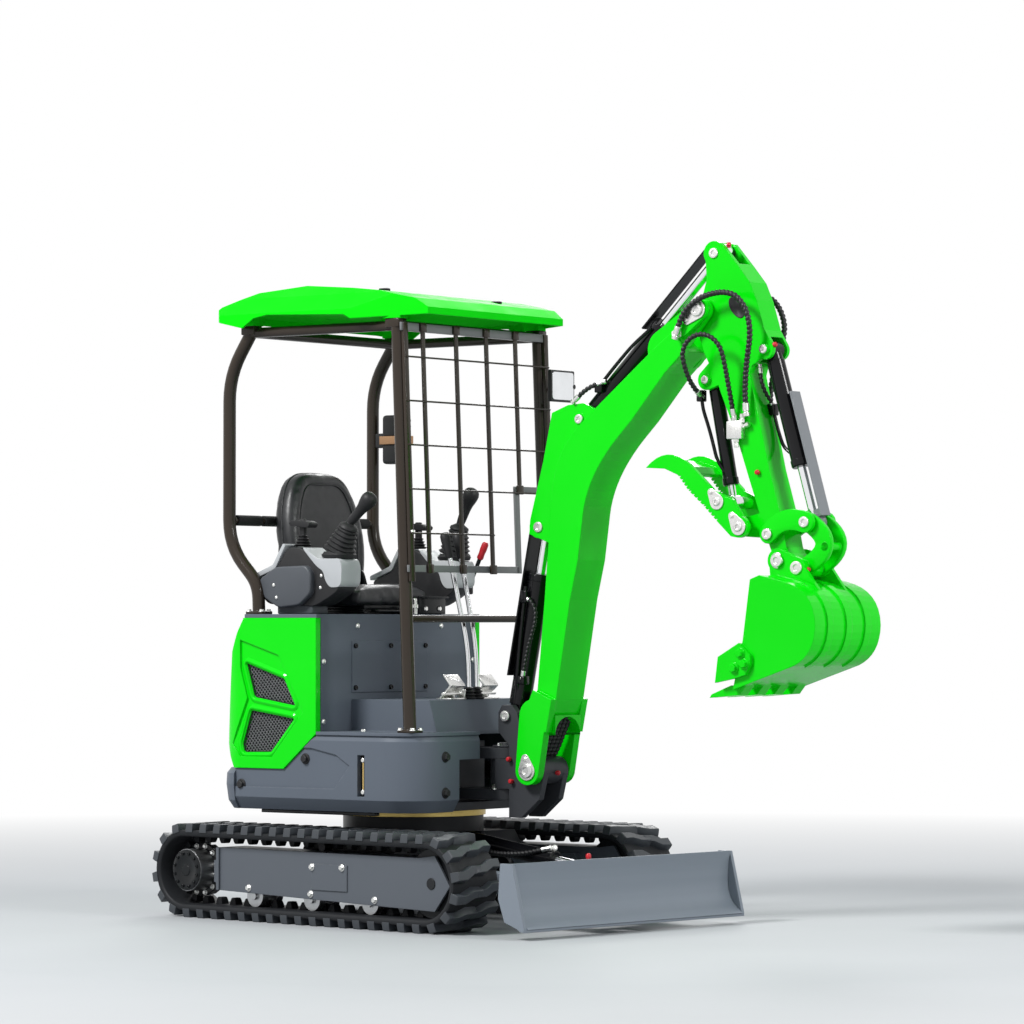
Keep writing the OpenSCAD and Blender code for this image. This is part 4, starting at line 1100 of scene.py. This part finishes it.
def rim(bm, outline, side):
    """Raised ring round a vent: it slopes in to the mesh and out to the sunk field of the cover."""
    section = ((-1, 474), (6, 487), (12, 488.5), (22, 482), (22, 478), (4, 472))
    middle = sum((Vector(p) for p in outline), Vector((0, 0))) / len(outline)
    rings = []
    for i, p in enumerate(outline):
        along_edge = Vector(outline[(i + 1) % len(outline)]) - Vector(outline[i - 1])
        out = Vector((along_edge.y, -along_edge.x)).normalized()
        if out.dot(Vector(p) - middle) < 0:
            out = -out
        rings.append([house(p[0] + out.x * d, side * y, p[1] + out.y * d) for d, y in section])
    skin(bm, rings, loop=True)


def vents():
    frames, rims = bmesh.new(), bmesh.new()
    for side, name in SIDES:
        runs = []
        for outline in (VENT_UPPER, VENT_LOWER):
            for angle, y in ((0.95, 469.0), (-0.75, 467.2)):
                runs += [[house(p.x, side * y, p.y) for p in run] for run in clip_runs(outline, 11.5, angle)]
            # folded strip round each opening, and the rim outside it
            ring = rounded(outline, 8, 4)
            tube(frames, [house(p[0], side * 474, p[1]) for p in (*ring, ring[0])], 0.003, 8)
            rim(rims, rounded(outline, 12, 5), side)
        wires("vent_mesh_" + name, runs, 1.7, 6, guard_paint)
    finished("vent_frames", frames, black_paint)
    finished("vent_rims", rims, green_paint, smooth=35)


# Fasteners, pins and small fittings.

RIGHT, FORWARD, UP = (0, -1, 0), (1, 0, 0), (0, 0, 1)


def at(x, y, z, out, place=HOUSE):
    """A place for a fastener: its point in the frame, and its outward and roll directions."""
    turn = place.to_3x3()
    roll = (1, 0.1, 0) if out == UP else (0.2, 0.1, 1)
    return place @ (Vector((x, y, z)) * MM), turn @ Vector(out), turn @ Vector(roll)


def both(points, y, place=HOUSE):
    """The same X and Z on the right and on the left."""
    return [at(x, side * y, z, (0, side, 0), place) for x, z in points for side in (-1, 1)]


def fasteners():
    set_out("house_screws", dome_screw(), [at(-65, y, z, FORWARD) for y, z in (
        (-446, 955), (-446, 735), (446, 955), (446, 735), (-250, 1085), (250, 1085))], zinc, size=1.3)
    set_out("hatch_bolts", socket_bolt(), [at(-62, y, z, FORWARD) for y in (-268, -60, 148)
                                           for z in (1012, 858)], black_paint)
    feet = [at(x, side * y, 710, UP) for side in (-1, 1) for x in (POST_FOOT[0] - 28, POST_FOOT[0] + 28)
            for y in (POST_Y - 22, POST_Y + 22)]
    feet += [at(x, side * y, 1139, UP) for side in (-1, 1) for x in (REAR_TOP_X, -364)
             for y in (POST_Y - 20, POST_Y + 20)]
    feet += [at(x, y, 700, UP) for x in (60, 240) for y in (-370, 370)]
    set_out("post_bolts", hex_bolt(), feet, zinc, size=0.85)
    skirts = both([(-120, 600), (-428, 500)], 483) + [at(400, -318, z, FORWARD) for z in (612, 482)]
    set_out("skirt_bolts", hex_bolt(), skirts, black_plastic, size=1.5)
    trim = both([(-325, 1236), (-312, 1190)], CONSOLE_Y + 78)
    trim += both([(-118, 1270), (-122, 1226), (-400, 1246)], CONSOLE_Y + 52)
    set_out("trim_screws", dome_screw(), [*trim, at(38, -POST_Y, 726, FORWARD, POSTS)], zinc, size=0.9)
    frame_bolts = both([(25, 211), (180, 214)], 551, LOWER)
    frame_bolts += both([(-313, 120), (15, 112), (343, 104)], 547, LOWER)
    set_out("track_frame_bolts", hex_bolt(), frame_bolts, zinc, "base")
    turns = [2 * math.pi * (k + 0.5) / 12 for k in range(12)]
    for name, part, radius, y, finish, size in (("sprocket_bolts", hex_bolt(), 89, 497, zinc, 0.8),
                                                ("motor_bolts", socket_bolt(), 62, 574, black_paint, 0.7)):
        circle = [(SPROCKET_X + radius * math.cos(a), TRACK_Z + radius * math.sin(a)) for a in turns]
        set_out(name, part, both(circle, y, LOWER), finish, "base", size)
    for name, y, profile in (
            ("sprocket_rings", 491, [(78.5, 0), (99, 0), (101, 2), (101, 5), (99, 6), (78.5, 6)]),
            ("motor_lids", 568, [(0, 0), (74, 0), (76, 1.5), (76, 4), (73, 6), (50, 6), (48, 5), (22, 5), (20, 8),
                                 (0, 8)])):
        bm = bmesh.new()
        for side in (-1, 1):
            disc(bm, lower(SPROCKET_X, side * y, TRACK_Z), (0, side, 0), profile, 48)
        finished(name, bm, black_paint, "base")
    set_out("cutter_bolts", hex_bolt(), both([(1622, 992), (1638, 955), (1596, 940)], 226), green_paint, "bucket",
            1.5)


PINS = {
    "boom": ((614, 561, 118, 27), (812, 1833, 62, 18), (1357, 2202, 106, 24), (626, 1445, 59, 20)),
    "swing_post": ((490, 757, 80, 20),),
    "arm": ((1395, 2403, 53, 19), (1363, 1956, 62, 15), (1610, 2055, 62, 16), (1635, 1407, 78, 20),
            (1690, 1314, 100, 24)),
    "bucket": ((1767, 1288, 93, 24),),
    "tip_link": ((1787, 1447, 75, 20),),
    "thumb": ((1445, 1522, 112, 15), (1536, 1433, 112, 17)),
}


def arc(centre, radius, start, stop, count):
    return [Vector(centre) + radius * Vector((math.cos(t), math.sin(t))) for t in np.linspace(start, stop, count)]


def pins():
    """Plated pin ends with a hexagon socket, and the keeper plates beside some of them."""
    for body, ends in PINS.items():
        bm = bmesh.new()
        for x, z, y, r in ends:
            profile = [(0, -1), (r, -1), (r, 3.5), (r - 2, 6), (r * 0.5, 6.5), (r * 0.42, 4), (r * 0.42, 2), (0, 2)]
            for side in (-1, 1):
                disc(bm, house(x, side * y, z), facing(0, side, 0), profile, 28)
        finished(body + "_pin_ends", bm, zinc, body, 30)
    keepers = {"thumb": ((1445, 1522, 107, 28, (-24, 34)), (1536, 1433, 107, 30, (-26, 38))),
               "boom": ((1357, 2202, 99, 33, (-44, -36)), (614, 561, 112, 36, (-6, 42))),
               "arm": ((1690, 1314, 93.3, 28, (10, -2)),)}
    for body, rows in keepers.items():
        bm = bmesh.new()
        for x, z, y, r, (dx, dz) in rows:
            a = math.atan2(dz, dx)
            outline = arc((x, z), r, a + 1.25, a + 2 * math.pi - 1.25, 20)
            outline += arc((x + dx, z + dz), r * 0.5, a - 1.25, a + 1.25, 9)
            for side in (-1, 1):
                slab(bm, outline, side * y, side * (y + 5), 1.0, 1)
                disc(bm, house(x + dx, side * (y + 5), z + dz), facing(0, side, 0),
                     [(0, 0), (7.5, 0), (7.5, 5), (6, 6.5), (0, 6.5)], 6)
        finished(body + "_keepers", bm, zinc, body, 30)

    # red caps on the grease nipples
    caps = {"arm": (((1583, -53, 1624), RIGHT), ((1437, -20, 2426), UP), ((1640, -44, 2070), FORWARD)),
            "swing_post": (((664, 0, 552), FORWARD), ((510, -78, 600), RIGHT), ((520, -78, 520), RIGHT)),
            "h_link": (((1800, -66, 1282), RIGHT),)}
    for body, rows in caps.items():
        bm = bmesh.new()
        for spot, way in rows:
            disc(bm, house(*spot), facing(*way),
                 [(0, -4), (7, -4), (7, 2), (9, 3), (9, 11), (6, 15), (0, 16)], 16)
        finished(body + "_grease_caps", bm, red_plastic, body)
    bm = bmesh.new()
    disc(bm, lower(880, 0, 252), UP, [(0, -8), (8, -8), (8, 2), (10, 3), (10, 13), (6, 18), (0, 19)], 16)
    finished("blade_rod_cap", bm, red_plastic, "blade")


def fittings():
    # level gauge behind the slot of each skirt
    bm = bmesh.new()
    for side in (-1, 1):
        y = side * 468
        brick(bm, (124, min(y, y - side * 6), 462), (169, max(y, y - side * 6), 624), 2, index=1)
        bar(bm, [(146, y + side * 6, 484), (146, y + side * 6, 604)], 5, 12)
        for z in (484, 600):
            disc(bm, house(146, y + side * 2, z), facing(0, side, 0),
                 [(0, 0), (10, 0), (10, 9), (8, 11), (0, 11)], 6, 2)
    finished("level_gauges", bm, [brass, black_plastic, zinc])
    # rail under the house, bracket beside the seat and tabs on the roof
    bm = bmesh.new()
    for side in (-1, 1):
        brick(bm, (-360, side * 436 - 14, 397), (180, side * 436 + 14, 409.5), 2)
    brick(bm, (-84, 132, 1129.5), (-76, 292, 1198), 2)
    brick(bm, (-84, 132, 1190), (-60, 292, 1198), 2)
    for x, y, z in ((60, -248, 2318), (250, 183, 2287)):
        brick(bm, (x - 20, y - 11, z), (x + 20, y + 11, z + 12), 3)
    finished("dark_brackets", bm, black_paint)
    bm = bmesh.new()
    brick(bm, (-520, -30, 662), (-498, 30, 694), 4)
    finished("bonnet_latch", bm, black_paint, "bonnet")
    bm = bmesh.new()
    for y in (72, 100):
        disc(bm, house(-72, y, 1129.5), UP, [(0, 0), (9, 0), (9, 22), (12, 23), (12, 36), (8, 37), (8, 56), (5, 60),
                                             (0, 60)], 12)
    for y in (168, 252):
        disc(bm, house(-76, y, 1150), facing(*FORWARD), [(0, 0), (11, 0), (11, 3), (8, 7), (0, 7)], 6)
    finished("seat_side_nuts", bm, zinc, smooth=30)
    # valve block on the arm with its unions
    bm = bmesh.new()
    brick(bm, (1466, -82, 1742), (1530, -52.5, 1806), 4)
    for x, z, way in ((1524, 1800, (0.1, 0, 1)), (1491, 1800, UP), (1500, 1744, (0, 0, -1)),
                      (1524, 1785, (1, 0, 0.3))):
        disc(bm, house(x, -67, z), facing(*way),
             [(0, 0), (11, 0), (11, 12), (8, 13), (8, 18), (10, 19), (10, 30), (6, 31), (0, 31)], 6)
    finished("arm_valve", bm, zinc, "arm", 30)
    bm = bmesh.new()
    for side in (-1, 1):
        disc(bm, house(1272, side * 98, 2120), facing(0, side, 0),
             [(0, 0), (19, 0), (19, 5), (15, 6), (15, 20), (12, 24), (0, 24)], 6)
    finished("boom_unions", bm, zinc, "boom", 30)


def engine_parts():
    """What shows on the engine's rear face with the bonnet up."""
    face, rear = -420, facing(-1, 0, 0)
    bm = bmesh.new()
    brick(bm, (-408, -215, 890), (-215, 215, 932), 10, 3)
    for y in range(-180, 181, 40):
        brick(bm, (-398, y - 5, 930), (-225, y + 5, 938), 2)
    brick(bm, (face - 12, -235, 470), (face + 5, 235, 880), 8, 3)
    pulleys = ((-60, 690, 66), (-165, 780, 40), (60, 800, 34))
    for y, z, r in pulleys:
        disc(bm, house(face - 12, y, z), rear, [(0, 0), (r, 0), (r, 5), (r - 8, 9), (r - 8, 13), (r, 17), (r, 22),
                                                (r - 6, 24), (r - 10, 20), (14, 20), (12, 28), (0, 28)], 36)
    finished("engine_castings", bm, cast_iron)
    # belt round the pulleys: along the hull of their grooves
    rims = [p for y, z, r in pulleys for p in arc((y, z), r - 4, 0, 2 * math.pi, 41)[:-1]]
    turns = np.linspace(0, 2 * math.pi, 121)
    hull = [max(rims, key=lambda p: p.x * math.cos(t) + p.y * math.sin(t)) for t in turns]
    hull = [p for i, p in enumerate(hull) if i == 0 or (p - hull[i - 1]).length > 1]
    bm = bmesh.new()
    tube(bm, [house(face - 23, *p) for p in hull], 0.005, 8)
    bar(bm, [(face - 8, 130, 640), (face - 36, 130, 640), (face - 36, 130, 700), (face - 36, 205, 750),
             (face - 8, 205, 820)], 13, 14, bend=60)
    finished("engine_belt_and_hose", bm, hose_rubber, smooth=50)
    bm = bmesh.new()
    disc(bm, house(face - 12, -175, 655), rear,
         [(0, 0), (34, 0), (36, 4), (36, 30), (32, 36), (24, 38), (0, 38)], 18)
    finished("oil_filter", bm, grey_plastic, smooth=30)
    set_out("engine_bolts", hex_bolt(), [at(face - 12, y, z, (-1, 0, 0)) for y in (-215, -105, 0, 105, 215)
                                         for z in (490, 862)], zinc, size=0.9)


def banana(points, half, steps=14):
    """Outline of a curved link: a bend through three points with round ends."""
    a, b, c = (Vector(p) for p in points)
    pull = b * 2 - (a + c) / 2
    line = [a * (1 - t) ** 2 + pull * 2 * t * (1 - t) + c * t * t for t in np.linspace(0, 1, steps)]
    left, right = [], []
    for i, p in enumerate(line):
        d = (line[min(i + 1, steps - 1)] - line[max(i - 1, 0)]).normalized()
        n = Vector((-d.y, d.x))
        r = half[0] + (half[1] - half[0]) * i / (steps - 1)
        left.append(p + n * r)
        right.append(p - n * r)

    def cap(end, inner, r):
        """Round end of the link, without the corners that its sides already have."""
        out = line[end] - line[inner]
        turn = math.atan2(out.y, out.x)
        return arc(line[end], r, turn + math.pi / 2, turn - math.pi / 2, 9)[1:-1]

    return left + cap(-1, -2, half[1]) + right[::-1] + cap(0, 1, half[0])


def links():
    """Curved links between arm, bucket cylinder and bucket."""
    bm = bmesh.new()
    for y in (-75, 57):
        slab(bm, banana(((1635, 1407), (1703, 1452), (1787, 1447)), (34, 38)), y, y + 18, 3, 2)
    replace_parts(finished("arched_link", bm, green_paint, "tip_link", 35), "tip_link")
    bm = bmesh.new()
    for y in (-54, 32):
        slab(bm, banana(((1787, 1447), (1851, 1366), (1767, 1288)), (34, 31)), y, y + 22, 3, 2)
    across = facing(0, 1, 0)
    disc(bm, house(1858, -54, 1362), across, [(0, 0), (15, 0), (15, 108), (0, 108)], 24)
    disc(bm, house(1767, -76.7, 1288), across, [(0, 0), (31, 0), (31, 153.4), (0, 153.4)], 32)
    for y in (-56.8, 28):
        disc(bm, house(1787, y, 1447), across, [(0, 0), (19, 0), (19, 28.8), (0, 28.8)], 24)
    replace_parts(finished("bowed_link", bm, green_paint, "h_link", 35), "h_link")


def blade_face():
    """Smooth mouldboard skin over the blade, with its cutting edge."""
    profile = smooth_line([(1057, 264), (1048, 225), (1044, 175), (1047, 125), (1063, 85), (1087, 60),
                           (1115, 39)], 5)
    bm = bmesh.new()
    slab(bm, [*(profile + (4, 0.5)), *(profile - (6, 3))[::-1]], -575, 575, 0, place=LOWER)
    finished("mouldboard", bm, board_paint, "blade")


def castings():
    """Small solid fittings: the arch of the boom's fork, a port in the arm and the swing pin's head."""
    crosswise = HOUSE @ Matrix.Rotation(math.pi / 2, 4, "Z")
    bm = bmesh.new()
    for side in (-1, 1):
        arch = [Vector((side * 76 * math.cos(t), 690 + 66 * math.sin(t))) for t in np.linspace(0, math.pi / 2, 14)]
        slab(bm, arch + [(0, 762), (side * 77, 762)], -716, -640, 0, place=crosswise)
    finished("fork_arch", bm, green_paint, "boom")
    bm = bmesh.new()
    for side in (-1, 1):
        tilt = stand(1492, side * 53, 2206) @ Matrix.Rotation(math.radians(-90 * side), 4, "X")
        tilt = tilt @ Matrix.Rotation(math.radians(-52), 4, "Z") @ Matrix.Diagonal((1.9, 1, 1, 1))
        lathe(bm, tilt, [(0, 0.3), (18, 0.3), (20, 2.5), (23, 2.5), (24, 0), (24, -2), (0, -2)], 28)
    bmesh.ops.recalc_face_normals(bm, faces=bm.faces)
    finished("arm_ports", bm, grip_rubber, "arm")
    bm = bmesh.new()
    disc(bm, house(440, 0, 640), UP, [(0, 0), (52, 0), (54, 2), (54, 8), (34, 9), (32, 18), (0, 18)], 32)
    finished("swing_pin_head", bm, post_paint)
    set_out("swing_pin_bolts", hex_bolt(), [at(440 + 42 * math.cos(t), 42 * math.sin(t), 648, UP)
                                            for t in (0.4, 2.5, 4.6)], zinc, size=0.9)
    set_out("lug_nut", hex_bolt(), [at(428, y, 490, UP) for y in (-52, 52)], zinc, size=1.7)


def pipes():
    """Steel lines along the cylinders, each with a block where its hose ends."""
    rows = {
        "thumb_barrel": ([(1330, -35, 1918), (1334, -35, 1860), (1366, -35, 1775), (1396, -35, 1672),
                          (1420, -20, 1628)],
                         (1318, -52, 1880, 1342, -18, 1922)),
        "bucket_barrel": ([(1590, 33, 1846), (1607, 33, 1780), (1632, 33, 1715), (1668, 28, 1690)],
                          (1572, 18, 1826, 1604, 48, 1868)),
        "arm_barrel": ([(900, -46, 1958), (960, -51, 2015), (1040, -51, 2090), (1120, -45, 2150)],
                       (876, -58, 1926, 908, -28, 1960)),
        "boom_barrel": ([(560, -47, 1230), (548, -49, 1130), (532, -49, 1000), (520, -46, 900), (512, -30, 838)],
                        (545, -62, 1170, 572, -34, 1215), (528, -60, 872, 560, -24, 904)),
    }
    for body, (route, *blocks) in rows.items():
        bm = bmesh.new()
        bar(bm, route, 6.5, 12, bend=40)
        for corners in blocks:
            brick(bm, corners[:3], corners[3:], 4)
        finished(body + "_pipe", bm, cylinder_paint, body, 45)


def hoses():
    loop = ((1281, 116, 2128), (1291, 117, 2155), (1307, 118, 2184), (1330, 118, 2210), (1379, 119, 2239),
            (1432, 119, 2254), (1486, 119, 2256), (1532, 117, 2241), (1567, 114, 2200), (1584, 112, 2147),
            (1582, 105, 2095), (1570, 98, 2043), (1559, 91, 2000), (1550, 84, 1948), (1546, 80, 1896),
            (1548, 78, 1850))
    for side, name in ((-1, "near_arm_hose"), (1, "far_arm_hose")):
        hose(name, [house(x, side * y, z) for x, y, z in loop], "boom",
             ("arm", house(1350, side * 118, 2215), house(1560, side * 100, 2080)))
    hose("thumb_hose", [house(*p) for p in (
        (1491, -72, 1832), (1489, -84, 1880), (1487, -97, 1930), (1484, -111, 1988), (1478, -125, 2045),
        (1465, -134, 2078), (1437.6, -140, 2102), (1401, -143, 2111), (1364, -144, 2102), (1337, -145, 2078),
        (1324, -144, 2046.5), (1324, -139, 2019.5), (1326, -127, 1988), (1329, -107, 1953), (1331, -80, 1926),
        (1332, -52, 1907))], "arm",
        ("thumb_barrel", house(1437, -140, 2102), house(1324, -140, 2020)), 0.017)
    hose("bucket_hose", [house(*p) for p in (
        (1566, -18, 1990), (1570, -18, 1965), (1576, -16, 1935), (1582, -4, 1905), (1588, 14, 1880),
        (1590, 30, 1858))], "arm", ("bucket_barrel", house(1566, -18, 1985), house(1588, 14, 1880)), 0.014)
    for k, y in enumerate((-48, -24, 0, 24, 48)):
        hose("fork_hose_%d" % (k + 1), [house(x, y + (x - 612) * 0.02 * (y / 24), z) for x, z in (
            (612, 606), (622, 622), (635, 645), (648, 672), (662, 702), (676, 732), (690, 764), (702, 796))],
            "swing_post", ("boom", house(605, 0, 590), house(650, 0, 690)), ends=())
    for k, y in enumerate((-34, 34)):
        hose("arm_cylinder_hose_%d" % (k + 1), [house(*p) for p in (
            (800, y * 1.9, 1905), (826, y * 1.9, 1925), (852, y * 1.8, 1942), (880, y * 1.6, 1955),
            (903, y * 1.45, 1962))], "boom", ("arm_barrel", house(820, y, 1915), house(895, y, 1960)), 0.016)
    hose("boom_cylinder_hose", [house(*p) for p in (
        (563, -50, 1188), (590, -52, 1172), (606, -52, 1140), (604, -52, 1100), (592, -52, 1060), (574, -52, 1010),
        (560, -52, 950), (549, -51, 905))], "boom_barrel", None, 0.014)
    for k, y in enumerate((-58, 58)):
        hose("blade_hose_%d" % (k + 1), [lower(*p) for p in (
            (236, y, 268), (290, y, 272), (360, y, 268), (440, y, 262), (520, y * 0.95, 258), (600, y * 0.8, 262),
            (655, y * 0.55, 272), (690, y * 0.3, 280))], "base",
            ("blade_barrel", lower(300, 0, 272), lower(660, 0, 270)), 0.016)


photo_camera()
studio()
dress_nodes()
hoses()
tracks()
canopy()
seat()
controls()
vents()
fasteners()
pins()
fittings()
engine_parts()
pipes()
links()
blade_face()
castings()
